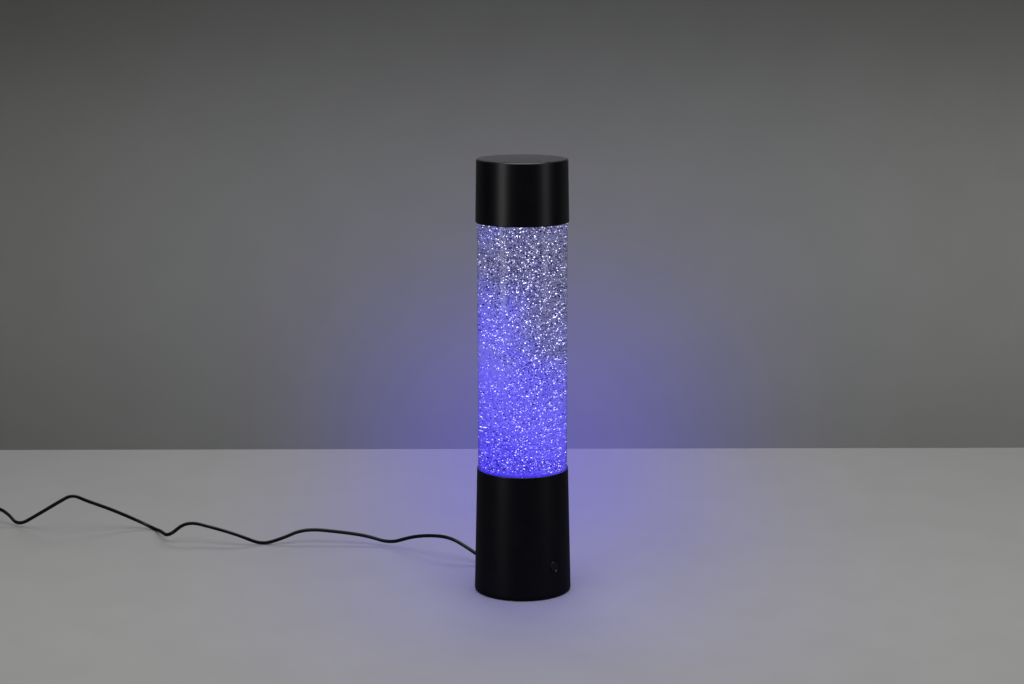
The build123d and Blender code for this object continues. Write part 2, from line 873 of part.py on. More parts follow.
def stirrer():
    body = disc(stirrer_disc_radius, stirrer_low, stirrer_disc_top)
    body += disc(stirrer_hub_radius, stirrer_low, stirrer_disc_top + stirrer_hub_height)
    outline = Polyline(
        (0, stirrer_disc_top),
        (paddle_reach, stirrer_disc_top),
        (paddle_top_reach, paddle_top),
        (0, paddle_top),
        close=True,
    )
    paddle = extrude(Plane.XZ * make_face(outline), paddle_thickness / 2, both=True)
    for angle in spread(paddle_count, 360 / paddle_count / 2):
        body += Rot(0, 0, angle) * paddle
    for side in (-1, 1):
        pocket = disc(magnet_radius + press_gap, stirrer_low - cut_over, stirrer_low + magnet_thickness)
        body -= Pos(side * magnet_circle_radius, 0, 0) * pocket
    body -= disc(pin_radius + stirrer_running_gap, stirrer_low - cut_over, pin_top + stirrer_end_gap)
    return body


def stirrer_magnets():
    magnet = disc(magnet_radius, stirrer_low, stirrer_low + magnet_thickness)
    return [Pos(side * magnet_circle_radius, 0, 0) * magnet for side in (-1, 1)]


def closure_seal():
    return disc(bottle_neck_radius, neck_top, neck_top + seal_thickness)


def bottle_closure():
    inner_top = neck_top + seal_thickness
    top = inner_top + closure_top
    closure = disc(closure_radius, inner_top - closure_skirt, top)
    closure = fillet(closure.edges().sort_by(Axis.Z)[-1], closure_edge_round)
    return closure - disc(bottle_neck_radius + fit_gap, inner_top - closure_skirt - cut_over, inner_top)


def top_cap():
    inner_top = lamp_height - cap_top_wall
    step = cap_low + cap_socket_depth
    points = [
        (0, lamp_height),
        (0, inner_top),
        (cap_outer(inner_top) - cap_wall, inner_top),
        (cap_outer(step) - cap_wall, step),
        (socket_radius, step),
        (socket_radius, cap_low),
        (cap_rim_radius, cap_low),
        (cap_top_radius, lamp_height),
    ]
    cap = turned(points, [0, 0, 0, 0, 0, 0, cap_rim_round, cap_edge_round])
    shoulder_share = (bottle_radius - cap_rib_inner) / (bottle_radius - bottle_neck_radius)
    rib_low = shoulder_top + shoulder_rise * shoulder_share + cap_rib_gap
    rib_reach = cap_outer(inner_top) - cap_wall / 2 - cap_rib_inner
    rib = Pos(cap_rib_inner + rib_reach / 2, 0, 0) * block(
        rib_reach, cap_rib_thickness, rib_low, inner_top + cap_top_wall / 2
    )
    for angle in spread(cap_rib_count):
        cap += Rot(0, 0, angle) * rib
    return cap


def strain_relief():
    inner_face = housing_inner(outlet_height) - relief_flange_gap
    outer_face = housing_outer(outlet_height - relief_collar_radius) + seat_gap
    collar_end = outer_face + relief_collar_thickness
    tip = collar_end + relief_length
    flange = Pos(0, 0, inner_face - relief_flange_thickness) * extrude(
        Circle(relief_flange_radius), relief_flange_thickness
    )
    neck = Pos(0, 0, inner_face) * extrude(Circle(relief_neck_radius), outer_face - inner_face)
    collar = Pos(0, 0, outer_face) * extrude(Circle(relief_collar_radius), relief_collar_thickness)
    tail = Pos(0, 0, collar_end) * Cone(
        relief_tail_radius, relief_tip_radius, relief_length, align=(Align.CENTER, Align.CENTER, Align.MIN)
    )
    low = inner_face - relief_flange_thickness - cut_over
    bore = Pos(0, 0, low) * extrude(Circle(lead_radius + relief_bore_gap), tip - low + cut_over)
    return radial_frame(outlet_angle, outlet_height) * (flange + neck + collar + tail - bore)


def inner_lead():
    turn_reach = housing_inner(outlet_height) - inner_lead_straight
    points = [
        polar(housing_outer(outlet_height), outlet_angle, outlet_height),
        polar(turn_reach, outlet_angle, outlet_height),
        (power_socket_x, power_socket_face + inner_lead_rise_gap, inner_lead_height),
        (power_socket_x, power_socket_face, inner_lead_height),
    ]
    tube, _ = lead_tube(points, lead_radius, arc_radii(points, "inner_lead"))
    return tube


def motor_leads():
    leads = []
    drop = (motor_low - socket_top) * motor_wire_drop_share
    for side in (-1, 1):
        x = side * motor_wire_spacing / 2
        points = [
            (x, motor_nose_radius, motor_low),
            (x, motor_nose_radius, motor_low - drop),
            (x, motor_socket_y + motor_wire_bow, (motor_low + socket_top) / 2),
            (x, motor_socket_y, socket_top + drop),
            (x, motor_socket_y, socket_top),
        ]
        tube, _ = lead_tube(points, wire_radius, arc_radii(points, "motor_leads"))
        leads.append(tube)
    return leads


def led_leads():
    leads = []
    x, y, _ = polar(lead_hole_circle_radius, lead_hole_angle)
    rise = led_board_low - socket_top
    for index in range(led_wire_count):
        side = y + (index - (led_wire_count - 1) / 2) * led_wire_spacing
        points = [
            (x, side, led_board_low),
            (x, side, socket_top + rise * led_wire_high_share),
            (x + led_socket_offset, side, socket_top + rise * led_wire_low_share),
            (x + led_socket_offset, side, socket_top),
        ]
        tube, _ = lead_tube(points, wire_radius, arc_radii(points, "led_leads"))
        leads.append(tube)
    return leads


def switch_leads():
    frame = radial_frame(button_angle, 0)
    height = button_height - switch_board_height / 2 + switch_wire_above
    leads = []
    for side in (-1, 1):
        across = side * switch_wire_spacing / 2
        local = [
            (across, height, switch_board_reach),
            (across, height, switch_socket_reach),
            (across, socket_top, switch_socket_reach),
        ]
        points = [tuple(frame.from_local_coords(Vector(*point))) for point in local]
        tube, _ = lead_tube(points, wire_radius, arc_radii(points, "switch_leads"))
        leads.append(tube)
    return leads


# The free lead's route: out of the strain relief, over the table behind the lamp in the low springy
# waves of a flex that was packed folded, and into the coil. Points are chosen by hand.
def lead_route():
    outlet_reach = housing_outer(outlet_height)
    coil_side = coil_centre_y + coil_radius
    return [
        polar(outlet_reach, outlet_angle, outlet_height),
        polar(outlet_reach + lead_straight, outlet_angle, outlet_height),
        (-36.0, 71.5, 5.5),
        (-49.0, 81.5, 12.0),
        (-66.0, 91.0, 20.0),
        (-86.0, 105.0, 18.0),
        (-104.0, 117.0, 13.0),
        (-124.0, 131.0, 3.5),
        (-146.0, 139.0, 8.0),
        (-172.0, 144.0, 10.5),
        (-206.0, 147.0, 13.0),
        (-228.0, 138.0, 5.5),
        (-246.0, 137.0, 0.6),
        (-266.0, 134.0, 10.0),
        (-292.0, 145.0, 14.5),
        (-318.0, 149.5, 20.0),
        (-334.5, 142.0, 6.5),
        (-346.0, 168.0, 5.0),
        (-355.0, 190.0, 0.9),
        (-372.0, 197.0, 7.0),
        (-398.0, 191.5, 20.5),
        (-420.0, 184.0, 31.0),
        (-432.0, 180.5, 38.0),
        (-446.0, 181.0, 30.0),
        (-468.0, 191.0, 15.5),
        (-491.0, 203.0, 0.9),
        (-502.0, 210.5, 11.5),
        (-518.0, 221.0, 15.5),
        (-533.0, coil_side, coil_low),
        (coil_centre_x + 2 * lead_radius, coil_side, coil_low),
    ]


def tail_route():
    """From the coil's top layer down to the plug."""
    coil_side = coil_centre_y + coil_radius
    return [
        (coil_centre_x - 2 * lead_radius, coil_side, coil_high),
        (-563.0, coil_side, coil_high),
        (-578.0, 228.0, 5.0),
        (plug_x, 212.0, plug_height),
        (plug_x, plug_y, plug_height),
    ]


def power_cord():
    points = lead_route()
    tube, length = lead_tube(points, lead_radius, arc_radii(points, "power_cord"))
    share = tube.volume / (pi * lead_radius ** 2 * length)
    print("power_cord length", round(length, 1), "volume over section times length", round(share, 4))
    return tube


def cord_tail():
    points = tail_route()
    tube, length = lead_tube(points, lead_radius, arc_radii(points, "cord_tail"))
    share = tube.volume / (pi * lead_radius ** 2 * length)
    print("cord_tail length", round(length, 1), "volume over section times length", round(share, 4))
    return tube


def half_turn(start_y, radius, height, side):
    """A flat half turn from one point of the coil's Y line to the other, on one side of it."""
    end_y = start_y + side * 2 * radius
    middle = (side * radius, start_y + side * radius, height)
    return ThreePointArc((0, start_y, height), middle, (0, end_y, height)), end_y


def quarter_arc(start, corner, end):
    """A quarter turn that starts and ends along the two sides that meet in the corner."""
    start, corner, end = Vector(*start), Vector(*corner), Vector(*end)
    centre = start + end - corner
    reach = (start - centre).length
    return ThreePointArc(start, centre + (corner - centre).normalized() * reach, end)


def coil_path():
    """The coil's line about its own centre: in on the lower layer, up a layer, out on the upper one."""
    edges = [Line((2 * lead_radius, coil_radius, coil_low), (0, coil_radius, coil_low))]
    y = coil_radius
    radius = coil_radius
    side = -1
    for _ in range(2 * coil_turns_in):
        arc, y = half_turn(y, radius, coil_low, side)
        edges.append(arc)
        radius -= coil_pitch / 2
        side = -side
    reach = sqrt(radius ** 2 + (coil_pitch / 2) ** 2)
    middle = (-reach, y - radius, (coil_low + coil_high) / 2)
    edges.append(quarter_arc((0, y, coil_low), (-reach, y, coil_low), middle))
    edges.append(quarter_arc(middle, (-reach, y - 2 * radius, coil_high), (0, y - 2 * radius, coil_high)))
    y -= 2 * radius
    side = 1
    for _ in range(2 * coil_turns_in - 1):
        radius += coil_pitch / 2
        arc, y = half_turn(y, radius, coil_high, side)
        edges.append(arc)
        side = -side
    edges.append(Line((0, y, coil_high), (-2 * lead_radius, y, coil_high)))
    return edges


def least_gap(edges, radius):
    """Least distance between the skins of stretches of the coil that are a turn or so apart."""
    points = []
    run = 0.0
    spacing = radius / 2
    for edge in edges:
        steps = max(2, int(edge.length / spacing))
        for index in range(steps):
            points.append((run + edge.length * index / steps, edge @ (index / steps)))
        run += edge.length
    apart = pi * radius * 4
    best = min(
        (a[1] - b[1]).length
        for index, a in enumerate(points)
        for b in points[index + 1:]
        if b[0] - a[0] > apart
    )
    return best - 2 * radius


def cord_coil():
    edges = coil_path()
    path = Wire(edges)
    start = Plane(origin=path @ 0, z_dir=path % 0)
    coil = sweep(start * Circle(lead_radius), path=path)
    share = coil.volume / (pi * lead_radius ** 2 * path.length)
    print("cord_coil length", round(path.length, 1), "volume over section times length", round(share, 4))
    print("cord_coil least gap", round(least_gap(edges, lead_radius), 3))
    return Pos(coil_centre_x, coil_centre_y, 0) * coil


def cord_tie():
    """A flat band round the bundle, where both layers lie in line with each other."""
    outermost = coil_radius - coil_pitch / 2 + lead_radius
    inner_skin = coil_radius - coil_pitch / 2 - coil_pitch * (coil_turns_in - 1) - lead_radius
    innermost = sqrt(inner_skin ** 2 - (tie_width / 2 + coil_pitch / 2) ** 2)
    width = outermost - innermost + 2 * tie_side_gap
    height = coil_high - coil_low + 2 * lead_radius + 2 * tie_under_gap
    middle = (outermost + innermost) / 2
    wall = 2 * tie_thickness
    outer = RectangleRounded(width + wall, height + wall, tie_corner + tie_thickness)
    band = extrude(Plane.XZ * (outer - RectangleRounded(width, height, tie_corner)), tie_width / 2, both=True)
    return Pos(coil_centre_x + middle, coil_centre_y, (coil_high + coil_low) / 2) * band


def plug_frame(reach=0.0):
    """Z runs along the plug, away from its lead, and Y is up."""
    return Plane(origin=(plug_x, plug_y - reach, plug_height), x_dir=(1, 0, 0), z_dir=(0, -1, 0))


def usb_plug_body():
    upright = (Align.CENTER, Align.CENTER, Align.MIN)
    tail = Cone(plug_tail_radius, plug_tail_end_radius, plug_tail_length, align=upright)
    body = Pos(0, 0, plug_tail_length) * extrude(
        RectangleRounded(plug_width, plug_thickness, plug_round), plug_length
    )
    body = chamfer(body.faces().sort_by(Axis.Z)[0].edges(), plug_round / 2)
    return plug_frame() * (tail + body)


def usb_plug_shell():
    outer = extrude(Rectangle(shell_width, shell_height), shell_length)
    inner = extrude(
        Rectangle(shell_width - 2 * shell_wall, shell_height - 2 * shell_wall), shell_length + cut_over
    )
    shell = outer - inner
    for side in (-1, 1):
        window = Pos(side * shell_window_spacing / 2, shell_height / 2, shell_window_reach) * Box(
            shell_window_width, shell_wall * 2 + seat_gap, shell_window_length
        )
        shell -= window
    return plug_frame(plug_tail_length + plug_length) * shell


def usb_plug_tongue():
    low = -shell_height / 2 + shell_wall
    tongue = Pos(0, low + tongue_thickness / 2) * Rectangle(shell_width - 2 * shell_wall, tongue_thickness)
    return plug_frame(plug_tail_length + plug_length) * extrude(tongue, shell_length - tongue_short)


def usb_plug_contacts():
    frame = plug_frame(plug_tail_length + plug_length)
    top = -shell_height / 2 + shell_wall + tongue_thickness
    contacts = []
    for index in range(contact_count):
        across = (index - (contact_count - 1) / 2) * contact_pitch
        start = shell_length - tongue_short - contact_length
        strip = Pos(across, top + contact_thickness / 2, start) * extrude(
            Rectangle(contact_width, contact_thickness), contact_length
        )
        contacts.append(frame * strip)
    return contacts


def write(name, shape):
    """Write one node; a list of pieces becomes a group of separate solids."""
    pieces = shape if isinstance(shape, list) else [shape]
    solids = [solid for piece in pieces for solid in piece.solids()]
    whole = Compound(children=solids) if len(solids) > 1 else solids[0]
    whole.label = name
    export_step(whole, os.path.join("parts", name + ".step"))
    print(name, len(solids))


def main():
    os.makedirs("parts", exist_ok=True)
    flakes = glitter_flakes()
    nodes = {
        "base_housing": base_housing(),
        "bottom_cover": bottom_cover(),
        "rubber_feet": rubber_feet(),
        "cover_screws": cover_screws(),
        "control_board": control_board(),
        "board_chips": board_chips(),
        "board_capacitor": board_capacitor(),
        "board_sockets": board_sockets(),
        "board_screws": board_screws(),
        "button_cap": button_cap(),
        "switch_plunger": switch_plunger(),
        "switch_body": switch_body(),
        "switch_board": switch_board(),
        "switch_leads": switch_leads(),
        "motor_pad": motor_pad(),
        "motor_can": motor_can(),
        "motor_end_cap": motor_end_cap(),
        "motor_bushes": motor_bushes(),
        "motor_field_magnets": motor_field_magnets(),
        "motor_armature": motor_armature(),
        "motor_shaft": motor_shaft(),
        "motor_screws": motor_screws(),
        "motor_leads": motor_leads(),
        "magnet_carrier": magnet_carrier(),
        "carrier_magnets": carrier_magnets(),
        "led_board": led_board(),
        "led_emitters": led_emitters(),
        "led_board_screws": led_board_screws(),
        "led_leads": led_leads(),
        "reflector_cup": reflector_cup(),
        "light_window": light_window(),
        "seat_ring": seat_ring(),
        "bottle": bottle(),
        "glitter_flakes": flakes,
        "glitter_liquid": glitter_liquid(flakes),
        "stirrer_pin": stirrer_pin(),
        "stirrer": stirrer(),
        "stirrer_magnets": stirrer_magnets(),
        "closure_seal": closure_seal(),
        "bottle_closure": bottle_closure(),
        "top_cap": top_cap(),
        "strain_relief": strain_relief(),
        "inner_lead": inner_lead(),
        "power_cord": power_cord(),
        "cord_coil": cord_coil(),
        "cord_tie": cord_tie(),
        "cord_tail": cord_tail(),
        "usb_plug_body": usb_plug_body(),
        "usb_plug_shell": usb_plug_shell(),
        "usb_plug_tongue": usb_plug_tongue(),
        "usb_plug_contacts": usb_plug_contacts(),
    }
    for name, shape in nodes.items():
        write(name, shape)


main()
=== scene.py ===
# %% [markdown]
# # A glitter lamp
# The lamp is a clear bottle of water and glitter between a black base and a black cap. LEDs in the
# base light the water from below, and a small magnetic stirrer keeps the flakes drifting. The CAD
# model gives every piece its place, so the first step loads it, and every later step dresses a
# piece of it. All lengths are metres.

# %% Load the frame
import json
import math
import random

import bpy
import numpy as np
from mathutils import Matrix, Vector


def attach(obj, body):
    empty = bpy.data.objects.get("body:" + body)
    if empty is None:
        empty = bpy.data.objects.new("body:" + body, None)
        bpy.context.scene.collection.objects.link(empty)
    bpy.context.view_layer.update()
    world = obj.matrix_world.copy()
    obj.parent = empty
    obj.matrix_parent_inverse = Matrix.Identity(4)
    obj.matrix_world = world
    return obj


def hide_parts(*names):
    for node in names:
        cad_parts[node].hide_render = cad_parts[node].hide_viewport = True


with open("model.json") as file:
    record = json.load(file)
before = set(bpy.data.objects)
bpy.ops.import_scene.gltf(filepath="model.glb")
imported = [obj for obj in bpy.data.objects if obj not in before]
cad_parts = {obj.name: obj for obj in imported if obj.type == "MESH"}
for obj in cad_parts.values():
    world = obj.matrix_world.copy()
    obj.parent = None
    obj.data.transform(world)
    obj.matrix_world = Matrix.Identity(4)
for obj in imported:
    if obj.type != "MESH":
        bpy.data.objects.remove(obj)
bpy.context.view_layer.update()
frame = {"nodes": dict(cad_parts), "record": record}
MM = 0.001

# %% [markdown]
# ## The camera
# A photograph's lens and place decide the picture more than anything else. This one was fitted to
# the lamp's straight edges and to the ellipses of its rims: a long lens, a little above the cap,
# looking down by ten and a half degrees. The tiny roll is in the photograph too.

# %% Camera
camera_place = Vector((-0.00896, -1.77306, 0.5485))
camera_pitch = math.radians(90 - 10.51)
camera_roll = -0.0022


def alone():
    """Deselect everything, because operators act on all that is selected."""
    bpy.ops.object.select_all(action="DESELECT")


alone()
bpy.ops.object.camera_add(location=camera_place)
camera = bpy.context.object
camera.rotation_euler = (
    Matrix.Rotation(camera_pitch, 3, "X") @ Matrix.Rotation(camera_roll, 3, "Z")
).to_euler()
camera.data.sensor_width = 36
camera.data.lens = 73.66
camera.data.clip_end = 30
bpy.context.scene.camera = camera
print("camera at", tuple(camera.location), "lens", camera.data.lens)

# %% [markdown]
# ## Colours and nodes
# Colours are written as sRGB hex, as a paint chart gives them, and turned to linear light here.
# One small function adds a shader node with its settings, plain values and links, so each
# material below reads as a list of what feeds what.


# %% Colour and node helpers
def linear(hex_colour):
    """An sRGB hex colour as linear RGBA."""
    parts = [int(hex_colour[i:i + 2], 16) / 255 for i in (1, 3, 5)]
    return tuple(c / 12.92 if c <= 0.04045 else ((c + 0.055) / 1.055) ** 2.4 for c in parts) + (1.0,)


def add_node(tree, kind, settings=None, values=None, links=None):
    """One shader node of a kind, with its settings, its plain values and the links into it."""
    node = tree.nodes.new("ShaderNode" + kind)
    for name, value in (settings or {}).items():
        setattr(node, name, value)
    for socket, value in (values or {}).items():
        node.inputs[socket].default_value = value
    for socket, source in (links or {}).items():
        tree.links.new(source, node.inputs[socket])
    return node


def start_material(name, values):
    """A material with one Principled shader and its plain values."""
    material = bpy.data.materials.new(name)
    material.use_nodes = True
    tree = material.node_tree
    shader = tree.nodes["Principled BSDF"]
    for socket, value in values.items():
        shader.inputs[socket].default_value = value
    return material, tree, shader


def object_noise(tree, size_mm, detail=2.0, roughness=0.5):
    """Noise in the object's own space whose blotches are about size_mm across."""
    place = add_node(tree, "TexCoord")
    noise = add_node(
        tree, "TexNoise",
        values={"Scale": 1 / (size_mm * MM), "Detail": detail, "Roughness": roughness},
        links={"Vector": place.outputs["Object"]},
    )
    return noise.outputs["Fac"]


def ramp_through(tree, source, stops, interpolation="LINEAR"):
    """A colour that runs through the stops, each a value of the source and a linear colour."""
    ramp = add_node(tree, "ValToRGB", links={"Fac": source})
    ramp.color_ramp.interpolation = interpolation
    elements = ramp.color_ramp.elements
    while len(elements) < len(stops):
        elements.new(0.5)
    for index, (stop, colour) in enumerate(stops):
        elements[index].position = stop
        elements[index].color = colour
    return ramp.outputs["Color"]


def ramp_between(tree, source, low_hex, high_hex, low=0.35, high=0.65):
    """A colour that runs from one to the other as source goes from low to high."""
    return ramp_through(tree, source, [(low, linear(low_hex)), (high, linear(high_hex))])


def share_along(tree, axis, low, high, first=0.0, last=1.0):
    """A value that runs from first to last between two places on the object's axis, in metres."""
    place = add_node(tree, "TexCoord")
    parts = add_node(tree, "SeparateXYZ", links={"Vector": place.outputs["Object"]})
    share = add_node(
        tree, "MapRange",
        values={"From Min": low, "From Max": high, "To Min": first, "To Max": last},
        links={"Value": parts.outputs[axis]},
    )
    return share.outputs[0]


# %% [markdown]
# ## Moulded plastics
# The base and the cap are ABS, injection moulded in black. The mould's steel is spark-eroded, which
# prints a very fine grain and breaks the shine into a satin. Close up there is slight mottling from
# the flow of the melt and from handling, so the colour and the roughness vary a little with noise,
# and a fine bump gives the grain. Real grain is near 0.1 mm, too fine for this picture, so it is
# drawn at 0.5 mm.


# %% Moulded plastic
def coat(tree, shader, colour, relief, strength, depth_mm):
    """Give the shader a colour, and a bump as deep as the relief is high."""
    tree.links.new(colour, shader.inputs["Base Color"])
    bump = add_node(
        tree, "Bump", values={"Strength": strength, "Distance": depth_mm * MM},
        links={"Height": relief},
    )
    tree.links.new(bump.outputs["Normal"], shader.inputs["Normal"])


def moulded_plastic(name, dark, light, roughness, grain_mm=0.5, grain_depth_mm=0.004, **more):
    """Moulded plastic between two tones: flow marks of 14 mm, traces of handling of 6 mm, and a grain."""
    material, tree, shader = start_material(name, {"Roughness": roughness, "IOR": 1.54, **more})
    blotches = object_noise(tree, 14.0, detail=3.0)
    colour = ramp_between(tree, blotches, dark, light)
    handling = object_noise(tree, 6.0, detail=4.0, roughness=0.6)
    rough = add_node(
        tree, "MapRange",
        values={"To Min": roughness - 0.03, "To Max": roughness + 0.03},
        links={"Value": handling},
    )
    tree.links.new(rough.outputs["Result"], shader.inputs["Roughness"])
    grain = object_noise(tree, grain_mm, detail=1.0)
    coat(tree, shader, colour, grain, 0.5, grain_depth_mm)
    return material


# The satin black's faint blue cast is a painted reflection: it stands in for the tube's blue light mirrored
# in the black.
black_abs = moulded_plastic("black_ABS_satin", "#06060D", "#0A0A12", 0.32)
# The top's matt ABS has a real coarser grain, and its lighter colour is painted light for the softbox's
# grey.
painted_light_matt_abs = moulded_plastic("black_ABS_matt_painted_light", "#101014", "#15151A", 0.55, grain_depth_mm=0.008)
print("made", black_abs.name, "and", painted_light_matt_abs.name)

# %% [markdown]
# ## Lead: jacket material
# The lead is a flat two-core flex with a soft PVC jacket. Extruded PVC is smooth with a faint
# waviness along it, and black PVC shines more than the moulded ABS.

# %% Flex material
black_pvc = moulded_plastic("black_PVC_flex", "#0A0A0B", "#141415", 0.34, grain_mm=1.2, grain_depth_mm=0.01)
print("made", black_pvc.name)

# %% [markdown]
# ## The lead's line
# The lead leaves the base at the back left and runs off over the table in low springy waves, as a
# flex does that was packed folded. It is one smooth NURBS curve through the air and along the
# table. The control points are those of the CAD model's lead. Past the edge of the picture the rest
# of the lead is put away in a neat coil in two layers, with the plug beside it.

# %% Route of the lead, in mm
outlet_point = (-17.714, 37.988, 9.0)
route_mm = [
    outlet_point, (-25.744, 55.208, 9.0), (-36.0, 71.5, 5.5), (-49.0, 81.5, 12.0),
    (-66.0, 91.0, 20.0), (-86.0, 105.0, 18.0), (-104.0, 117.0, 13.0), (-124.0, 131.0, 3.0),
    (-146.0, 139.0, 8.0), (-172.0, 144.0, 10.5), (-206.0, 147.0, 13.0), (-228.0, 138.0, 5.2),
    (-246.0, 137.0, 0.3), (-266.0, 134.0, 10.0), (-292.0, 145.0, 14.5), (-318.0, 149.5, 20.0),
    (-334.5, 142.0, 6.5), (-346.0, 168.0, 5.0), (-355.0, 190.0, 0.6), (-372.0, 197.0, 7.0),
    (-398.0, 191.5, 20.5), (-420.0, 184.0, 31.0), (-432.0, 180.5, 38.0), (-446.0, 181.0, 30.0),
    (-468.0, 191.0, 15.5), (-491.0, 203.0, 0.6), (-502.0, 210.5, 11.5), (-518.0, 221.0, 15.5),
]
coil_centre = (-549.0, 207.0)
coil_radius = 26.4
coil_pitch = 3.9
coil_turns = 3
layer_low = 2.3
layer_high = 6.2
points_per_half_turn = 8


def coil_points():
    """The coil's control points: half turns that shrink on the lower layer and grow on the upper."""
    shrinking = [coil_radius - coil_pitch / 2 * index for index in range(2 * coil_turns + 1)]
    growing = shrinking[-2:0:-1]
    spread_out = 1 / math.cos(math.pi / points_per_half_turn / 2)
    points = []
    y = coil_radius
    side = -1
    for index, radius in enumerate(shrinking + growing):
        middle = y + side * radius
        for step in range(points_per_half_turn):
            along = (step + 0.5) / points_per_half_turn
            turn = math.pi * along
            climb = min(1, max(0, index - 2 * coil_turns + along))
            points.append((
                coil_centre[0] + side * radius * spread_out * math.sin(turn),
                coil_centre[1] + middle - side * radius * spread_out * math.cos(turn),
                layer_low + (layer_high - layer_low) * climb,
            ))
        y += side * 2 * radius
        side = -side
    return points


tail_mm = [
    (-563.0, 233.4, 6.2), (-578.0, 228.0, 5.0), (-586.5, 212.0, 4.0), (-586.5, 200.0, 4.0),
    (-586.5, 197.0, 4.0),
]
lead_mm = route_mm + [(-533.0, 233.4, layer_low)] + coil_points() + tail_mm
print("lead has", len(lead_mm), "control points")

# %% [markdown]
# ## The lead's section
# Two round cores side by side share one jacket, so the section is a flat figure of eight, 3.4 mm by
# 1.75 mm with a groove. It is drawn once as a small closed curve, and the lead's curve uses it as its
# bevel. A flat flex bends easily about its thin way only, so where it winds sideways it stands on its
# narrow side. The tilt of the control points does that, and it sways a little on the way.

# %% Section of the flex
core_radius = 0.86
core_spacing = 0.84
section = []
for side, start in ((1, -60), (-1, 120)):
    for step in range(7):
        angle = math.radians(start + 20 * step)
        section.append((side * core_spacing + core_radius * math.cos(angle), core_radius * math.sin(angle)))

profile_data = bpy.data.curves.new("flex_section", "CURVE")
profile_data.dimensions = "2D"
profile_line = profile_data.splines.new("POLY")
profile_line.points.add(len(section) - 1)
for point, (x, y) in zip(profile_line.points, section):
    point.co = (x * MM, y * MM, 0, 1)
profile_line.use_cyclic_u = True
profile = bpy.data.objects.new("flex_section", profile_data)
bpy.context.scene.collection.objects.link(profile)
profile.hide_render = True
profile.hide_set(True)
print("section of", len(section), "points")


# %% The lead
def flex_curve(name, points_mm, resolution):
    """A smooth curve by these control points, in mm, with the flex's section on its narrow side."""
    data = bpy.data.curves.new(name, "CURVE")
    data.dimensions = "3D"
    data.resolution_u = resolution
    data.twist_mode = "Z_UP"
    data.bevel_mode = "OBJECT"
    data.bevel_object = profile
    data.use_fill_caps = True
    data.materials.append(black_pvc)
    line = data.splines.new("NURBS")
    line.points.add(len(points_mm) - 1)
    for point, (x, y, z) in zip(line.points, points_mm):
        point.co = (x * MM, y * MM, z * MM, 1)
        point.tilt = math.pi / 2
    line.order_u = 3
    line.use_endpoint_u = True
    piece = bpy.data.objects.new(name, data)
    bpy.context.scene.collection.objects.link(piece)
    return piece, line


lead, lead_line = flex_curve("power_lead", lead_mm, 8)
sway = 0.28
for index, point in enumerate(lead_line.points[:len(route_mm)]):
    point.tilt = math.pi / 2 + sway * math.sin(index * 0.8)
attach(lead, "lamp")
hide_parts("power_cord", "cord_coil", "cord_tail")
print("lead length", round(lead_line.calc_length() * 1000), "mm")

# %% [markdown]
# ## The lead inside the base
# Inside the base the flex runs on from the wall hole to the socket on the control board. It is the
# same flex, so its curve is made the same way.

# %% Inner lead
inner_mm = [outlet_point, (-13.107, 28.109, 9.0), (-12.518, 22.1, 14.6), (-12.518, 16.1, 14.6)]
inner, inner_line = flex_curve("inner_flex", inner_mm, 12)
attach(inner, "lamp")
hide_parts("inner_lead")
print("inner flex", round(inner_line.calc_length() * 1000), "mm")

# %% [markdown]
# ## Turned shapes
# The base, the cap and the bottle are round all over. On a bench such a shape is drawn as half an
# outline and turned. So a plane is collapsed to one point, the point is extruded along the outline,
# and the outline is spun a full turn. Doubles are merged and the normals set afterwards, because a
# spin can leave the shape inside out. Edges that the mould rounds are bevelled ring by ring. The
# smooth shading of a bevel would run along the whole wall, so an outline has one more point near a
# rounded edge, and the ring there holds the shading.


# %% Turning helpers
def pick(*pieces):
    """Select these pieces alone; the last is the active one."""
    alone()
    for piece in pieces:
        piece.select_set(True)
    bpy.context.view_layer.objects.active = pieces[-1]


def turned_piece(name, outline, steps=128):
    """A closed outline of (radius, height) points, in mm, turned round the lamp's axis."""
    alone()
    bpy.ops.mesh.primitive_plane_add(size=1)
    piece = bpy.context.object
    piece.name = name
    bpy.ops.object.mode_set(mode="EDIT")
    bpy.ops.mesh.select_mode(type="VERT")
    bpy.ops.mesh.select_all(action="SELECT")
    bpy.ops.mesh.merge(type="CENTER")
    points = [Vector((radius * MM, 0, height * MM)) for radius, height in outline]
    bpy.ops.transform.translate(value=points[0])
    for here, there in zip(points, points[1:]):
        bpy.ops.mesh.extrude_vertices_move(TRANSFORM_OT_translate={"value": there - here})
    if outline[0][0] > 0:
        bpy.ops.mesh.extrude_vertices_move(TRANSFORM_OT_translate={"value": points[0] - points[-1]})
    bpy.ops.mesh.select_all(action="SELECT")
    bpy.ops.mesh.spin(steps=steps, angle=2 * math.pi, center=(0, 0, 0), axis=(0, 0, 1))
    bpy.ops.mesh.select_all(action="SELECT")
    bpy.ops.mesh.remove_doubles(threshold=0.00001)
    bpy.ops.mesh.normals_make_consistent(inside=False)
    bpy.ops.object.mode_set(mode="OBJECT")
    return piece


def edit_with(piece, kind, wanted):
    """Edit the piece with just those of its edges or faces selected that the function wants."""
    pick(piece)
    bpy.ops.object.mode_set(mode="EDIT")
    bpy.ops.mesh.select_mode(type=kind)
    bpy.ops.mesh.select_all(action="DESELECT")
    bpy.ops.object.mode_set(mode="OBJECT")
    for part in piece.data.edges if kind == "EDGE" else piece.data.polygons:
        part.select = wanted(part)
    bpy.ops.object.mode_set(mode="EDIT")


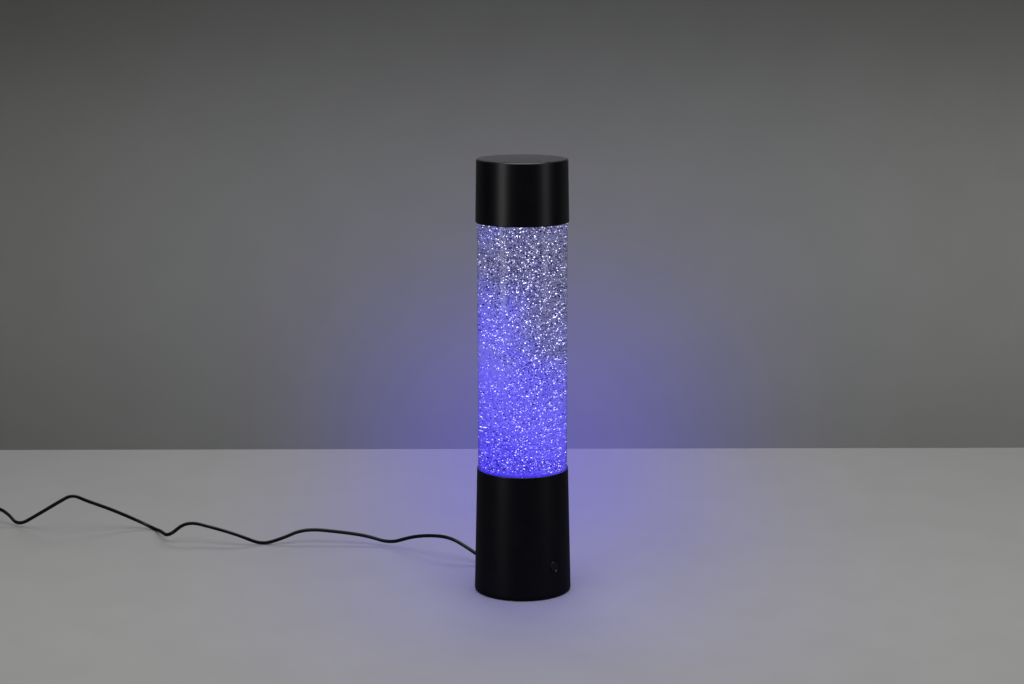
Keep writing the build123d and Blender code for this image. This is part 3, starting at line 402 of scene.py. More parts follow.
def round_ring(piece, radius, height, width, segments=4):
    """Bevel the ring of edges at this radius and height, in mm."""
    near = 0.02 * MM
    on_ring = [
        abs(math.hypot(v.co.x, v.co.y) - radius * MM) < near and abs(v.co.z - height * MM) < near
        for v in piece.data.vertices
    ]
    edit_with(piece, "EDGE", lambda edge: on_ring[edge.vertices[0]] and on_ring[edge.vertices[1]])
    bpy.ops.mesh.bevel(offset=width * MM, segments=segments, profile=0.5, affect="EDGES")
    bpy.ops.object.mode_set(mode="OBJECT")


def finish_piece(piece, material, body, slot_name, *nodes, angle=32):
    """Smooth shading, material and body; the piece stands for the nodes. Its slot_name is not used."""
    pick(piece)
    bpy.ops.object.transform_apply()
    bpy.ops.object.shade_smooth_by_angle(angle=math.radians(angle))
    if material and not piece.data.materials:
        piece.data.materials.append(material)
    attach(piece, body)
    if nodes:
        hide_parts(*nodes)
    print(piece.name, len(piece.data.polygons), "faces")


# %% [markdown]
# ## The cap
# The cap is a deep cup of black ABS that slips over the bottle's neck and shoulder. It narrows by
# less than a millimetre to its top, so that it leaves the mould, and its top edge has a soft round
# that catches the light as one bright line. Its flat top has a coarser, more matt grain, and its
# colour is painted a shade lighter, a painted light that adds to the grey the softbox gives it.
# Inside, a step rests on the bottle and six ribs centre the cap on the shoulder.

# %% Cap
cap_low = 323.8
lamp_top = 377.6
cap_rim = 40.0
cap_top = 39.15
cap_wall = 1.6
socket = 38.75


def cap_outer(height):
    """The cap's outer radius at a height."""
    return cap_rim + (cap_top - cap_rim) * (height - cap_low) / (lamp_top - cap_low)


step_height = cap_low + 17.0
ceiling = lamp_top - 2.0
holding_rings = [(cap_outer(height), height) for height in (lamp_top - 2.4, cap_low + 1.2)]
cap = turned_piece("lamp_cap", [
    (0, lamp_top), (cap_top, lamp_top), *holding_rings, (cap_rim, cap_low), (socket, cap_low),
    (socket, step_height), (cap_outer(step_height) - cap_wall, step_height),
    (cap_outer(ceiling) - cap_wall, ceiling), (0, ceiling),
])
round_ring(cap, cap_top, lamp_top, 1.7, 6)
round_ring(cap, cap_rim, cap_low, 0.5, 3)
cap.data.materials.append(black_abs)
cap.data.materials.append(painted_light_matt_abs)
# The flat top takes the matt ABS, whose lighter colour is painted light.
for face in cap.data.polygons:
    if face.normal.z > 0.95 and face.center.z > (lamp_top - 0.1) * MM:
        face.material_index = 1


# %% Ribs of the cap
def block(size, middle):
    """A box of a size round its middle, both in mm."""
    alone()
    bpy.ops.mesh.primitive_cube_add(size=1, location=[place * MM for place in middle])
    piece = bpy.context.object
    piece.scale = [side * MM for side in size]
    bpy.ops.object.transform_apply()
    return piece


ribs = []
for index in range(6):
    rib = block((12.8, 1.5, 30.8), (31.5, 0, 360.4))
    rib.data.transform(Matrix.Rotation(math.radians(60 * index), 4, "Z"))
    ribs.append(rib)
pick(*ribs, cap)
bpy.ops.object.join()
finish_piece(cap, black_abs, "lamp", "black_plastic", "top_cap")

# %% [markdown]
# ## The base
# The base is one moulding, open below, that flares a little to its foot. Its wall is 2.4 mm thick. A
# ledge near the top carries the bottle, and the deck below the ledge carries the motor and the
# LEDs. Four bosses take the cover's screws. The button's hole is countersunk, which shows as a dark
# ring round the button, and the lead has a round hole low at the back.

# %% Base
foot = 42.1
rim = 39.6
base_low = 1.0
base_top = 109.0
wall = 2.4
ledge_top = 88.0
ledge_low = 84.0
ledge_inner = 35.15
deck_top = 76.4
deck_low = 74.0
shaft_hole = 4.2
# Rings of the outer wall: round the holes they keep its faces small, at its ends they hold the shading
outer_heights = (5.0, 13.5, 22.5, 34.5, 70.0, 107.8)


def base_outer(height):
    """The base's outer radius at a height."""
    return foot + (rim - foot) * (height - base_low) / (base_top - base_low)


base = turned_piece("base_shell", [
    (foot, base_low), *((base_outer(height), height) for height in outer_heights), (rim, base_top),
    (socket, base_top), (socket, ledge_top), (ledge_inner, ledge_top), (ledge_inner, ledge_low),
    (base_outer(ledge_low) - wall, ledge_low), (base_outer(deck_top) - wall, deck_top),
    (shaft_hole, deck_top), (shaft_hole, deck_low), (base_outer(deck_low) - wall, deck_low),
    (base_outer(base_low) - wall, base_low),
], steps=160)
round_ring(base, foot, base_low, 0.9, 4)
round_ring(base, rim, base_top, 0.35, 3)

# %% Holes of the base
button_angle = math.radians(-49.3)
button_height = 28.5
button_hole = 4.5
countersink = 6.25
lead_angle = math.radians(115.0)
lead_height = 9.0
lead_hole = 3.3


def outward(piece, angle, height):
    """Turn a piece that was made about Z so that Z points out from the lamp, at a height."""
    turn = Matrix.Rotation(angle, 4, "Z") @ Matrix.Rotation(math.pi / 2, 4, "Y")
    piece.data.transform(Matrix.Translation((0, 0, height * MM)) @ turn)


def cut_hole(angle, height, near, far, radius, far_radius=None):
    """Cut a round hole in the base, plain or flared, from near to far of the lamp's axis."""
    alone()
    bpy.ops.mesh.primitive_cone_add(
        vertices=48, radius1=radius * MM, radius2=(far_radius or radius) * MM, depth=(far - near) * MM,
        location=(0, 0, (near + far) / 2 * MM),
    )
    bpy.ops.object.transform_apply()
    cutter = bpy.context.object
    outward(cutter, angle, height)
    pick(base)
    cut = base.modifiers.new("cut", "BOOLEAN")
    cut.operation = "DIFFERENCE"
    cut.solver = "EXACT"
    cut.object = cutter
    bpy.ops.object.modifier_apply(modifier=cut.name)
    bpy.data.objects.remove(cutter)


button_surface = base_outer(button_height)
cut_hole(button_angle, button_height, 34.0, 46.0, button_hole)
cut_hole(
    button_angle, button_height, button_surface - 0.75, button_surface + 1.0, button_hole, countersink
)
cut_hole(lead_angle, lead_height, 36.0, 46.0, lead_hole)
print("holes cut in", base.name)

# %% Screw bosses
screw_circle = 33.37
boss_radius = 3.6
boss_wall = 2.27
boss_height = 20.0
boss_middle = 14.0
pilot_depth = 11.5
bosses = []
for index in range(4):
    alone()
    bpy.ops.mesh.primitive_cylinder_add(
        vertices=32, radius=boss_radius * MM, depth=boss_height * MM,
        location=(screw_circle * MM, 0, boss_middle * MM),
    )
    boss = bpy.context.object
    edit_with(boss, "FACE", lambda face: face.normal.z < -0.9)
    bpy.ops.mesh.inset(thickness=boss_wall * MM)
    bpy.ops.mesh.extrude_region_move(TRANSFORM_OT_translate={"value": (0, 0, pilot_depth * MM)})
    bpy.ops.object.mode_set(mode="OBJECT")
    web = block((3.2, 1.8, boss_height), (38.2, 0, boss_middle))
    pick(web, boss)
    bpy.ops.object.join()
    bpy.ops.object.transform_apply()
    boss.data.transform(Matrix.Rotation(math.radians(90 * index), 4, "Z"))
    bosses.append(boss)
pick(*bosses, base)
bpy.ops.object.join()
finish_piece(base, black_abs, "lamp", "black_plastic", "base_housing")

# %% [markdown]
# ## The button
# A press button sits in the countersunk hole, flush with the base. Its face is dished so that a
# finger finds it in the dark, and it is polished, so it shows as a slightly lighter disc. Behind the
# face are a flange, which stops it from falling out, and a stem that presses the switch.

# %% Button
gloss_abs = moulded_plastic("black_ABS_polished", "#151519", "#1C1C21", 0.22, grain_depth_mm=0.001)
pad_radius = 4.35
flange_radius = 5.3
stem_radius = 1.7
button_face = button_surface + 0.2
flange_out = math.sqrt((button_surface - wall) ** 2 - flange_radius ** 2) - 0.55
flange_in = flange_out - 1.1
stem_end = flange_out - 4.1
button = turned_piece("button_pad", [
    (0, button_face - 0.45), (1.6, button_face - 0.38), (3.0, button_face - 0.14),
    (pad_radius, button_face), (pad_radius, flange_out), (flange_radius, flange_out),
    (flange_radius, flange_in), (stem_radius, flange_in), (stem_radius, stem_end), (0, stem_end),
], steps=64)
round_ring(button, pad_radius, button_face, 0.3, 3)
outward(button, button_angle, button_height)
finish_piece(button, gloss_abs, "button", "cap_grey", "button_cap", angle=40)

# %% [markdown]
# ## The strain relief
# Where the lead comes out of the base, a sleeve of soft PVC keeps it from kinking. Its flange sits
# inside the wall, a collar holds it outside, and its tail tapers over grooves, so that it bends in
# a gentle arc. It is turned like the base and then laid along the lead.

# %% Strain relief
soft_pvc = moulded_plastic("soft_PVC_matt", "#101011", "#18181A", 0.5, grain_mm=0.8, grain_depth_mm=0.008)
sleeve = turned_piece("strain_relief_sleeve", [
    (1.8, 37.65), (4.25, 37.65), (4.25, 39.1), (3.2, 39.1), (3.2, 42.12), (4.2, 42.12), (4.2, 43.3),
    (3.0, 43.3), (2.9, 45.0), (2.45, 45.1), (2.4, 45.9), (2.82, 46.0), (2.7, 47.7), (2.3, 47.8),
    (2.27, 48.6), (2.62, 48.7), (2.5, 50.3), (2.15, 50.4), (2.12, 51.1), (2.42, 51.2), (2.3, 53.0),
    (1.8, 53.0),
], steps=48)
round_ring(sleeve, 4.2, 43.3, 0.35, 3)
round_ring(sleeve, 2.3, 53.0, 0.2, 2)
outward(sleeve, lead_angle, lead_height)
finish_piece(sleeve, soft_pvc, "lamp", "soft_rubber", "strain_relief")

# %% [markdown]
# ## The plug's grip
# The USB plug's grip is PVC moulded over the solder joints: a flat block with round edges, a
# shallow finger panel on each broad side, and a short tail that tapers onto the flex. The block
# starts as a box whose broad faces are inset and sunk. Its tail is turned.

# %% Plug grip
plug_x, plug_z, plug_back, plug_front = -586.5, 4.0, 191.0, 167.0
panel_margin = 3.0
grip = block((15.6, plug_back - plug_front, 8.0), (plug_x, (plug_back + plug_front) / 2, plug_z))
grip.name = "plug_grip"
edit_with(grip, "FACE", lambda face: abs(face.normal.z) > 0.9)
bpy.ops.mesh.inset(thickness=panel_margin * MM, use_individual=True)
bpy.ops.mesh.inset(thickness=0.5 * MM, depth=-0.45 * MM, use_individual=True)
bpy.ops.object.mode_set(mode="OBJECT")
soften = grip.modifiers.new("soften", "BEVEL")
soften.width = 1.7 * MM
soften.segments = 4
soften.limit_method = "ANGLE"
soften.angle_limit = math.radians(60)
pick(grip)
bpy.ops.object.modifier_apply(modifier=soften.name)
tail = turned_piece("plug_tail", [
    (0, -0.8), (3.3, -0.8), (3.3, 0.0), (3.2, 1.6), (2.75, 1.7), (2.72, 2.5), (3.05, 2.6), (2.95, 4.2),
    (2.55, 4.3), (2.5, 5.1), (2.8, 5.2), (2.6, 7.0), (2.3, 9.0), (0, 9.0),
], steps=40)
tail.data.transform(
    Matrix.Translation((plug_x * MM, plug_back * MM, plug_z * MM)) @ Matrix.Rotation(-math.pi / 2, 4, "X")
)
pick(tail, grip)
bpy.ops.object.join()
finish_piece(grip, soft_pvc, "lamp", "black_plastic", "usb_plug_body", angle=40)

# %% [markdown]

# %% [markdown]
# ## The bottle
# The bottle is blown or moulded from clear plastic. A ray that enters it from the air bends as in
# any clear plastic, with an index near 1.49. The inside is wet, and there a ray passes from plastic
# to water, with a ratio of only 1.49 to 1.33. With two materials, one for dry faces and one for wet
# ones, the column works as the thick round lens that it is: the flakes look spread out to the very
# edge of the tube, and stretched sideways near it.


# %% Clear plastic
def clear_plastic(name, ior):
    """Clear plastic with a faint ripple of 22 mm from the mould; ior is the step at its surface."""
    material, tree, shader = start_material(
        name, {"Transmission Weight": 1.0, "Roughness": 0.0, "IOR": ior, "Base Color": linear("#F4F6FF")}
    )
    ripple = object_noise(tree, 22.0, detail=1.0)
    bump = add_node(
        tree, "Bump", values={"Strength": 0.15, "Distance": 0.05 * MM}, links={"Height": ripple}
    )
    tree.links.new(bump.outputs["Normal"], shader.inputs["Normal"])
    return material


dry_plastic = clear_plastic("clear_plastic_dry", 1.49)
wet_plastic = clear_plastic("clear_plastic_wet", 1.12)
print("made", dry_plastic.name, "and", wet_plastic.name)

# %% Bottle
bottle_low = 91.5
floor = bottle_low + 2.0
pin_low = bottle_low + 1.0
pin_high = bottle_low + 3.5
shoulder = 345.0
inner_shoulder = shoulder - 2.0
neck_root = 351.0
neck_top = 364.0
tube_outer, tube_inner = 38.6, 36.6
neck_outer, neck_inner = 15.5, 13.3
pin_seat, pin_radius = 3.2, 1.22
bottle = turned_piece("clear_bottle", [
    (0, bottle_low), (tube_outer, bottle_low), (tube_outer, shoulder), (neck_outer, neck_root),
    (neck_outer, neck_top), (neck_inner, neck_top), (neck_inner, neck_root - 2.0),
    (tube_inner, inner_shoulder), (tube_inner, floor), (pin_seat, floor), (pin_seat, pin_high),
    (pin_radius, pin_high), (pin_radius, pin_low), (0, pin_low),
])
round_ring(bottle, tube_outer, bottle_low, 3.0, 5)
round_ring(bottle, tube_outer, shoulder, 10.0, 6)
round_ring(bottle, tube_inner, inner_shoulder, 8.5, 6)

# %% Wet and dry faces
bottle.data.materials.append(dry_plastic)
bottle.data.materials.append(wet_plastic)
water_level = 347.0
wet_faces = 0
for face in bottle.data.polygons:
    reach = math.hypot(face.center.x, face.center.y)
    facing_in = face.normal.x * face.center.x + face.normal.y * face.center.y < 0
    on_floor = face.normal.z > 0.9 and face.center.z < 96 * MM
    under_shoulder = face.normal.z < -0.3 and face.center.z > 300 * MM and reach > 14 * MM
    on_wall = facing_in and reach > 30 * MM
    if face.center.z < water_level * MM and (on_floor or under_shoulder or on_wall):
        face.material_index = 1
        wet_faces += 1
bottle.visible_shadow = False
finish_piece(bottle, None, "lamp", "clear_plastic", "bottle")
print("wet faces", wet_faces)

# %% [markdown]
# ## The glowing water
# The water holds so much fine glitter that it glows like lit fog: deep blue just above the LEDs,
# paler further up, with drifting clouds. Fog in a volume would be slow and grainy. So the water's
# own surface carries a veil of painted light, a mix of clear and a painted glow that stands in for
# the LEDs' light in the glitter. On the near side it is thin, so the flakes stay crisp. On the far
# side, seen from within, it is thick, because a look through the tube gathers the glow of its whole
# depth. Height in the object's own space drives it, with noise for the clouds. Where the tube stands
# in the base, a thin line of deep blue is painted on its near side. The water's shape leaves room
# for the stirrer on the bottle's floor.

# %% Veil material
# The lit column's foot and top, in metres
column_low, column_high = 0.105, 0.325
# The water's glow is painted light that stands in for the LEDs' light in the glitter.
veil = bpy.data.materials.new("glitter_water_painted_glow")
veil.use_nodes = True
tree = veil.node_tree
tree.nodes.clear()
place = add_node(tree, "TexCoord")
parts = add_node(tree, "SeparateXYZ", links={"Vector": place.outputs["Object"]})
lean = add_node(
    tree, "Math", {"operation": "MULTIPLY_ADD"}, {1: 8.0},
    {0: parts.outputs["X"], 2: share_along(tree, "Z", column_low, column_high)},
)
squeeze = add_node(
    tree, "Mapping", values={"Scale": (1.0, 1.0, 0.6)}, links={"Vector": place.outputs["Object"]}
)
clouds = add_node(
    tree, "TexNoise", values={"Scale": 1 / (30 * MM), "Detail": 3.0, "Distortion": 0.8},
    links={"Vector": squeeze.outputs["Vector"]},
)
drift = add_node(
    tree, "MapRange",
    values={"From Min": 0.3, "From Max": 0.7, "To Min": -0.22, "To Max": 0.22},
    links={"Value": clouds.outputs["Fac"]},
)
level = add_node(tree, "Math", {"operation": "ADD"}, links={0: lean.outputs[0], 1: drift.outputs[0]})
glow_stops = [
    (0.0, "#6252FF", 0.12), (0.15, "#7062FF", 0.17), (0.38, "#786CFF", 0.16),
    (0.56, "#827EEC", 0.11), (0.74, "#7C7BA8", 0.06), (1.0, "#7B7A90", 0.04),
]
glow_colour = ramp_through(
    tree, level.outputs[0], [(stop, linear(colour)) for stop, colour, haze in glow_stops]
)
haze_share = ramp_through(
    tree, level.outputs[0], [(stop, (haze, haze, haze, 1)) for stop, colour, haze in glow_stops]
)
print("veil runs through", len(glow_stops), "colours")

# %% Painted line at the tube's foot, and the veil's mix
clear = add_node(tree, "BsdfTransparent", values={"Color": linear("#F2F2FF")})
side = add_node(tree, "NewGeometry")
near_base = share_along(tree, "Z", base_top * MM, (base_top + 3.5) * MM, 0.85, 0.0)
painted_rim_line = add_node(
    tree, "Mix", values={"B": 0.0}, links={"Factor": side.outputs["Backfacing"], "A": near_base}
)
# For the painted line, takes out red and green, and a little blue, so that deep blue is left
painted_rim_tint = add_node(
    tree, "VectorMath", {"operation": "MULTIPLY_ADD"}, {1: (-0.95, -1.05, -0.3), 2: (1, 1, 1)},
    {0: painted_rim_line.outputs[0]},
)
tinted = add_node(
    tree, "VectorMath", {"operation": "MULTIPLY"}, links={0: glow_colour, 1: painted_rim_tint.outputs[0]}
)
glow = add_node(tree, "Emission", values={"Strength": 1.0}, links={"Color": tinted.outputs[0]})
near_haze = add_node(tree, "Math", {"operation": "MAXIMUM"}, links={0: haze_share, 1: near_base})
thickness = add_node(
    tree, "Mix", values={"B": 0.93},
    links={"Factor": side.outputs["Backfacing"], "A": near_haze.outputs[0]},
)
mix = add_node(tree, "MixShader", links={0: thickness.outputs[0], 1: clear.outputs[0], 2: glow.outputs[0]})
add_node(tree, "OutputMaterial", links={"Surface": mix.outputs[0]})
print("made", veil.name)

# %% Water
water_reach = tube_inner - 0.1
water_low = floor + 0.1
water_shoulder = inner_shoulder - 0.1
water = turned_piece("glitter_water", [
    (0, 106.5), (17.5, 106.5), (21.5, 99.7), (21.5, 98.7), (14.5, 98.7), (14.5, water_low),
    (water_reach, water_low), (water_reach, water_shoulder), (20.6, water_level), (0, water_level),
])
round_ring(water, water_reach, water_shoulder, 8.0, 6)
water.visible_shadow = False
finish_piece(water, veil, "lamp", "blue_liquid", "glitter_liquid")

# %% [markdown]
# ## The flakes
# Glitter is metallised polyester film, cut into hexagons about a millimetre across. One flake is
# modelled: a six-sided disc whose top is a little smaller than its bottom, as the cutter leaves it.
# It is then copied thousands of times with a place, a tilt and a size of its own, all from one
# seed. In the lamp what a flake shows depends on its tilt; here its film paints it. A few flakes
# carry a painted white glint, many a painted glow of the blue light, and the rest painted shade for
# their dark side. Flakes drift in clouds: they crowd high up and on one side of the middle, where
# their painted dark sides show against the glow, and are sparse low down and on the other. So that
# light gets through, no flake casts a shadow, and each film glows by itself with its painted light.

# %% One flake
flake_radius, flake_thickness = 0.55, 0.06
alone()
bpy.ops.mesh.primitive_cylinder_add(vertices=6, radius=flake_radius * MM, depth=flake_thickness * MM)
flake = bpy.context.object
edit_with(flake, "FACE", lambda face: face.normal.z > 0.9)
bpy.ops.transform.resize(value=(0.92, 0.92, 1))
bpy.ops.object.mode_set(mode="OBJECT")
flake_points = np.array([v.co for v in flake.data.vertices])
flake_faces = [list(p.vertices) for p in flake.data.polygons]
bpy.data.objects.remove(flake)
print("flake", len(flake_points), "points", len(flake_faces), "faces")

# %% Where flakes drift
draw = random.Random(11)
flake_low = 96.0
flake_high = 343.0
flake_reach = 35.6
stirrer_reach, stirrer_high = 22.5, 107.5


def crowding(x, z):
    """How closely flakes crowd at a place in mm: high up, on one side of the middle, at the floor."""
    up = (z - 109) / 215
    side = min(1, max(0, 0.5 + x / 36 + 0.3 * math.sin(z / 15)))
    high = min(1, max(0, (up - 0.5) / 0.2))
    low = min(1, max(0, (up - 0.25) / 0.15))
    settled = min(1, max(0, (122 - z) / 10))
    return high + (1 - high) * low * side + (1 - low) * (0.3 + 0.7 * settled)


def scatter(count, wanted):
    """Places, in mm, for count flakes, kept where the function of a place says so."""
    places = []
    while len(places) < count:
        reach = flake_reach * math.sqrt(draw.random())
        turn = draw.uniform(0, 2 * math.pi)
        x, y, z = reach * math.cos(turn), reach * math.sin(turn), draw.uniform(flake_low, flake_high)
        off_stirrer = reach > stirrer_reach or z > stirrer_high
        if off_stirrer and draw.random() < wanted(x, y, z):
            places.append((x, y, z))
    return places


def stamp(name, places, size_low, size_high):
    """One mesh of a flake at each place, at any tilt, with a random tone from 0 to 1 on each."""
    count = len(places)
    pick_random = np.random.default_rng(len(name) * 7 + count)
    axis = pick_random.normal(size=(count, 3))
    axis /= np.linalg.norm(axis, axis=1, keepdims=True)
    other = np.cross(axis, pick_random.normal(size=(count, 3)))
    other /= np.linalg.norm(other, axis=1, keepdims=True)
    third = np.cross(axis, other)
    size = pick_random.uniform(size_low, size_high, count)[:, None, None]
    frames = np.stack([other, third, axis], axis=2)
    corners = np.einsum("nij,kj->nki", frames, flake_points) * size
    corners += np.array(places)[:, None, :] * MM
    corners = corners.reshape(-1, 3)
    each = len(flake_points)
    faces = [[v + index * each for v in face] for index in range(count) for face in flake_faces]
    mesh = bpy.data.meshes.new(name)
    mesh.from_pydata(corners.tolist(), [], faces)
    tone = mesh.attributes.new("tone", "FLOAT", "POINT")
    tone.data.foreach_set("value", np.repeat(pick_random.random(count), each))
    piece = bpy.data.objects.new(name, mesh)
    bpy.context.scene.collection.objects.link(piece)
    return piece


# %% Film materials
def film(name, mirror_hex, low_hex, high_hex, dim_share, strength):
    """Metallised film with painted light that glows from one colour low in the tube to another high up,
    some flakes less.
    """
    material, tree, shader = start_material(name, {
        "Metallic": 1.0, "Roughness": 0.28, "Base Color": linear(mirror_hex), "Emission Strength": strength,
    })
    up = share_along(tree, "Z", column_low, column_high)
    colour = ramp_between(tree, up, low_hex, high_hex, 0.1, 0.9)
    tone = add_node(tree, "Attribute", {"attribute_name": "tone"})
    dim = add_node(
        tree, "MapRange", values={"To Min": dim_share, "To Max": 1.0},
        links={"Value": tone.outputs["Fac"]},
    )
    lit = add_node(tree, "VectorMath", {"operation": "SCALE"}, links={0: colour, "Scale": dim.outputs[0]})
    tree.links.new(lit.outputs[0], shader.inputs["Emission Color"])
    return material


# Painted light on the flakes: a white glint, the blue light, and shade for a dark side
painted_glint_film = film("film_painted_glint", "#A4A7B2", "#D4CEFF", "#F2F2FF", 0.1, 3.5)
painted_blue_light_film = film("film_painted_blue_light", "#80828E", "#9488FF", "#A09ECE", 0.5, 1.08)
painted_shade_film = film("film_painted_shade", "#101030", "#0C00FF", "#110E90", 0.15, 0.34)
print("made", painted_glint_film.name, painted_blue_light_film.name, painted_shade_film.name)

# %% Flakes
def flashing(x, y, z):
    """More flakes carry a painted glint on the right, and few under the cap, which shades them."""
    return (0.6 + 0.2 * crowding(x, z)) * (1 + x / 160) * min(1, (345 - z) / 40)


# Name, count, smallest and largest size, film, and where such a flake is wanted
groups = [
    ("flakes_flashing", 3200, 0.5, 1.05, painted_glint_film, flashing),
    ("flakes_lit", 8200, 0.5, 1.0, painted_blue_light_film, lambda x, y, z: 1.0 - 0.55 * crowding(x, z)),
    ("flakes_shaded", 8000, 0.65, 1.2, painted_shade_film, lambda x, y, z: crowding(x, z)),
    ("flakes_shaded_fine", 7000, 0.4, 0.75, painted_shade_film, lambda x, y, z: 0.3 + 0.7 * crowding(x, z)),
]
for name, count, small, large, material, wanted in groups:
    piece = stamp(name, scatter(count, wanted), small, large)
    piece.data.materials.append(material)
    piece.visible_shadow = False
    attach(piece, "lamp")
    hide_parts("glitter_flakes")
    print(name, count)

# %% [markdown]
# ## Materials for the rest
# The pieces that keep their CAD shape get a material each, by the slot that the record names.
# Three recipes cover them: moulded plastics, as above; metals, plated or ground, with a fine
# directional grain; and grainy stuff such as rubber, foam, sintered bronze and ferrite.


# %% Metal and grainy recipes
def worked_metal(name, dark, light, roughness, grain_mm=(0.4, 0.4, 0.4)):
    """Plated, ground or rolled metal. The grain's size along each axis gives its direction."""
    material, tree, shader = start_material(name, {"Metallic": 1.0, "Roughness": roughness})
    place = add_node(tree, "TexCoord")
    stretch = add_node(
        tree, "Mapping", values={"Scale": tuple(1 / (g * MM) for g in grain_mm)},
        links={"Vector": place.outputs["Object"]},
    )
    grain = add_node(
        tree, "TexNoise", values={"Scale": 1.0, "Detail": 3.0},
        links={"Vector": stretch.outputs["Vector"]},
    )
    colour = ramp_between(tree, grain.outputs["Fac"], dark, light, 0.3, 0.7)
    rough = add_node(
        tree, "MapRange", values={"To Min": roughness * 0.8, "To Max": roughness * 1.25},
        links={"Value": grain.outputs["Fac"]},
    )
    tree.links.new(rough.outputs["Result"], shader.inputs["Roughness"])
    coat(tree, shader, colour, grain.outputs["Fac"], 0.3, 0.01)
    return material


def grainy(name, dark, light, roughness, cell_mm, depth_mm, metallic=0.0):
    """Rubber, foam, sintered or pressed stuff: round cells or grains that show as a bump."""
    material, tree, shader = start_material(name, {"Metallic": metallic, "Roughness": roughness})
    place = add_node(tree, "TexCoord")
    cells = add_node(
        tree, "TexVoronoi", values={"Scale": 1 / (cell_mm * MM)},
        links={"Vector": place.outputs["Object"]},
    )
    colour = ramp_between(tree, cells.outputs["Distance"], light, dark, 0.0, 0.8)
    coat(tree, shader, colour, cells.outputs["Distance"], 0.6, depth_mm)
    return material


def glowing_plastic(name, hex_colour, glow_hex, strength, grain_mm):
    """Milky plastic or phosphor that the LEDs light up, faintly mottled: on the phosphor the glow is their
    own light, on the diffuser it is painted light.
    """
    material, tree, shader = start_material(name, {
        "Roughness": 0.5, "IOR": 1.5, "Base Color": linear(hex_colour), "Emission Strength": strength,
    })
    mottle = object_noise(tree, grain_mm, detail=2.0)
    colour = ramp_between(tree, mottle, glow_hex, "#6A55FF", 0.3, 0.8)
    tree.links.new(colour, shader.inputs["Emission Color"])
    return material


# %% Slot materials
slot_materials = {
    "black_plastic": black_abs,
    "clear_plastic": moulded_plastic(
        "clear_styrene", "#DDE4F5", "#E8ECFA", 0.08, **{"Transmission Weight": 0.9}
    ),
    # The diffuser's glow is painted light from the LEDs.
    "diffuser_plastic": glowing_plastic("milky_diffuser", "#E4E8F4", "#4A30FF", 1.0, 12.0),
    "white_plastic": moulded_plastic("white_ABS", "#D2D2CC", "#DEDED8", 0.42),
    "soft_rubber": grainy("soft_rubber", "#141414", "#1E1E1E", 0.75, 0.5, 0.01),
    "grey_foam": grainy("EVA_foam", "#5A5A5E", "#77777B", 0.9, 0.6, 0.08),
    "black_flex": black_pvc,
    "zinc_steel": worked_metal("zinc_plated_steel", "#8F9296", "#B4B7BA", 0.38),
    "motor_steel": worked_metal("nickel_plated_can", "#8A8886", "#A9A7A4", 0.3, (0.3, 0.3, 3.0)),
    "bronze": grainy("sintered_bronze", "#8A6236", "#B98B55", 0.5, 0.2, 0.01, metallic=1.0),
    "ferrite": grainy("ferrite", "#262629", "#343438", 0.65, 0.25, 0.01),
    "magnet_nickel": worked_metal("nickel_plated_magnet", "#B4B2AE", "#CFCDC8", 0.18),
    "copper_winding": worked_metal("enamelled_copper", "#8A3E16", "#C27038", 0.35, (3.0, 3.0, 0.35)),
    "green_board": moulded_plastic("solder_mask_green", "#0F4A26", "#17603A", 0.35, grain_mm=0.6),
    "white_board": moulded_plastic("solder_mask_white", "#D8D8D6", "#E6E6E4", 0.4, grain_mm=0.6),
    "chip_black": moulded_plastic("epoxy_black", "#1A1A1C", "#242427", 0.6, grain_mm=0.3),
    "capacitor_sleeve": moulded_plastic("PVC_sleeve_navy", "#1B2350", "#232C60", 0.3),
    "led_white": glowing_plastic("LED_phosphor", "#E8E6DA", "#3C28FF", 2.0, 2.0),
    "red_wire": moulded_plastic("PVC_insulation_red", "#8E1414", "#A51A1A", 0.35),
    "steel_pin": worked_metal("ground_steel", "#A5A7AA", "#C2C4C6", 0.2, (0.2, 0.2, 2.0)),
    "usb_steel": worked_metal("nickel_plated_shell", "#A8A7A5", "#C6C5C2", 0.24, (0.25, 4.0, 0.25)),
    "gold_contact": worked_metal("gold_plating", "#C79A45", "#E0B860", 0.22, (0.3, 2.0, 0.3)),
    "cap_grey": gloss_abs,
}
slot_of = {row["node"]: row["material_slot"] for row in frame["record"]["subparts"]}
dressed = 0
for name, node in frame["nodes"].items():
    if node.hide_render:
        continue
    material = slot_materials[slot_of[name]]
    node.data.materials.clear()
    node.data.materials.append(material)
    dressed += 1
print("dressed", dressed, "CAD nodes")

# %% [markdown]
# ## Table and backdrop
# The lamp stands on a pale grey table in front of a grey paper backdrop. Painted shade darkens the
# table a little to its back, and the backdrop to its top and sides. Both carry a painted pool of the
# tube's blue light, a soft patch with a painted shadow under the lamp's foot, and under the patch the
# grey is painted a shade darker on the table and a shade lighter on the backdrop. Rays that reach the
# papers through thousands of flakes are rare and would leave grain, so the papers carry the glow
# themselves. Where a black gloss mirrors the papers, they are painted darker, so that it shows less
# of their light. The backdrop shows its front only, so a camera behind the lamp sees the lamp, and it
# casts no shadow, so a strip light can stand behind it.


# %% Papers
def graduate(tree, colour, axis, low, high, shares):
    """The colour times shares that stand evenly spaced from low to high along an axis, in metres."""
    stops = [(step / (len(shares) - 1), (share, share, share, 1)) for step, share in enumerate(shares)]
    fade = ramp_through(tree, share_along(tree, axis, low, high), stops, "B_SPLINE")
    toned = add_node(tree, "VectorMath", {"operation": "MULTIPLY"}, links={0: colour, 1: fade})
    return toned.outputs[0]


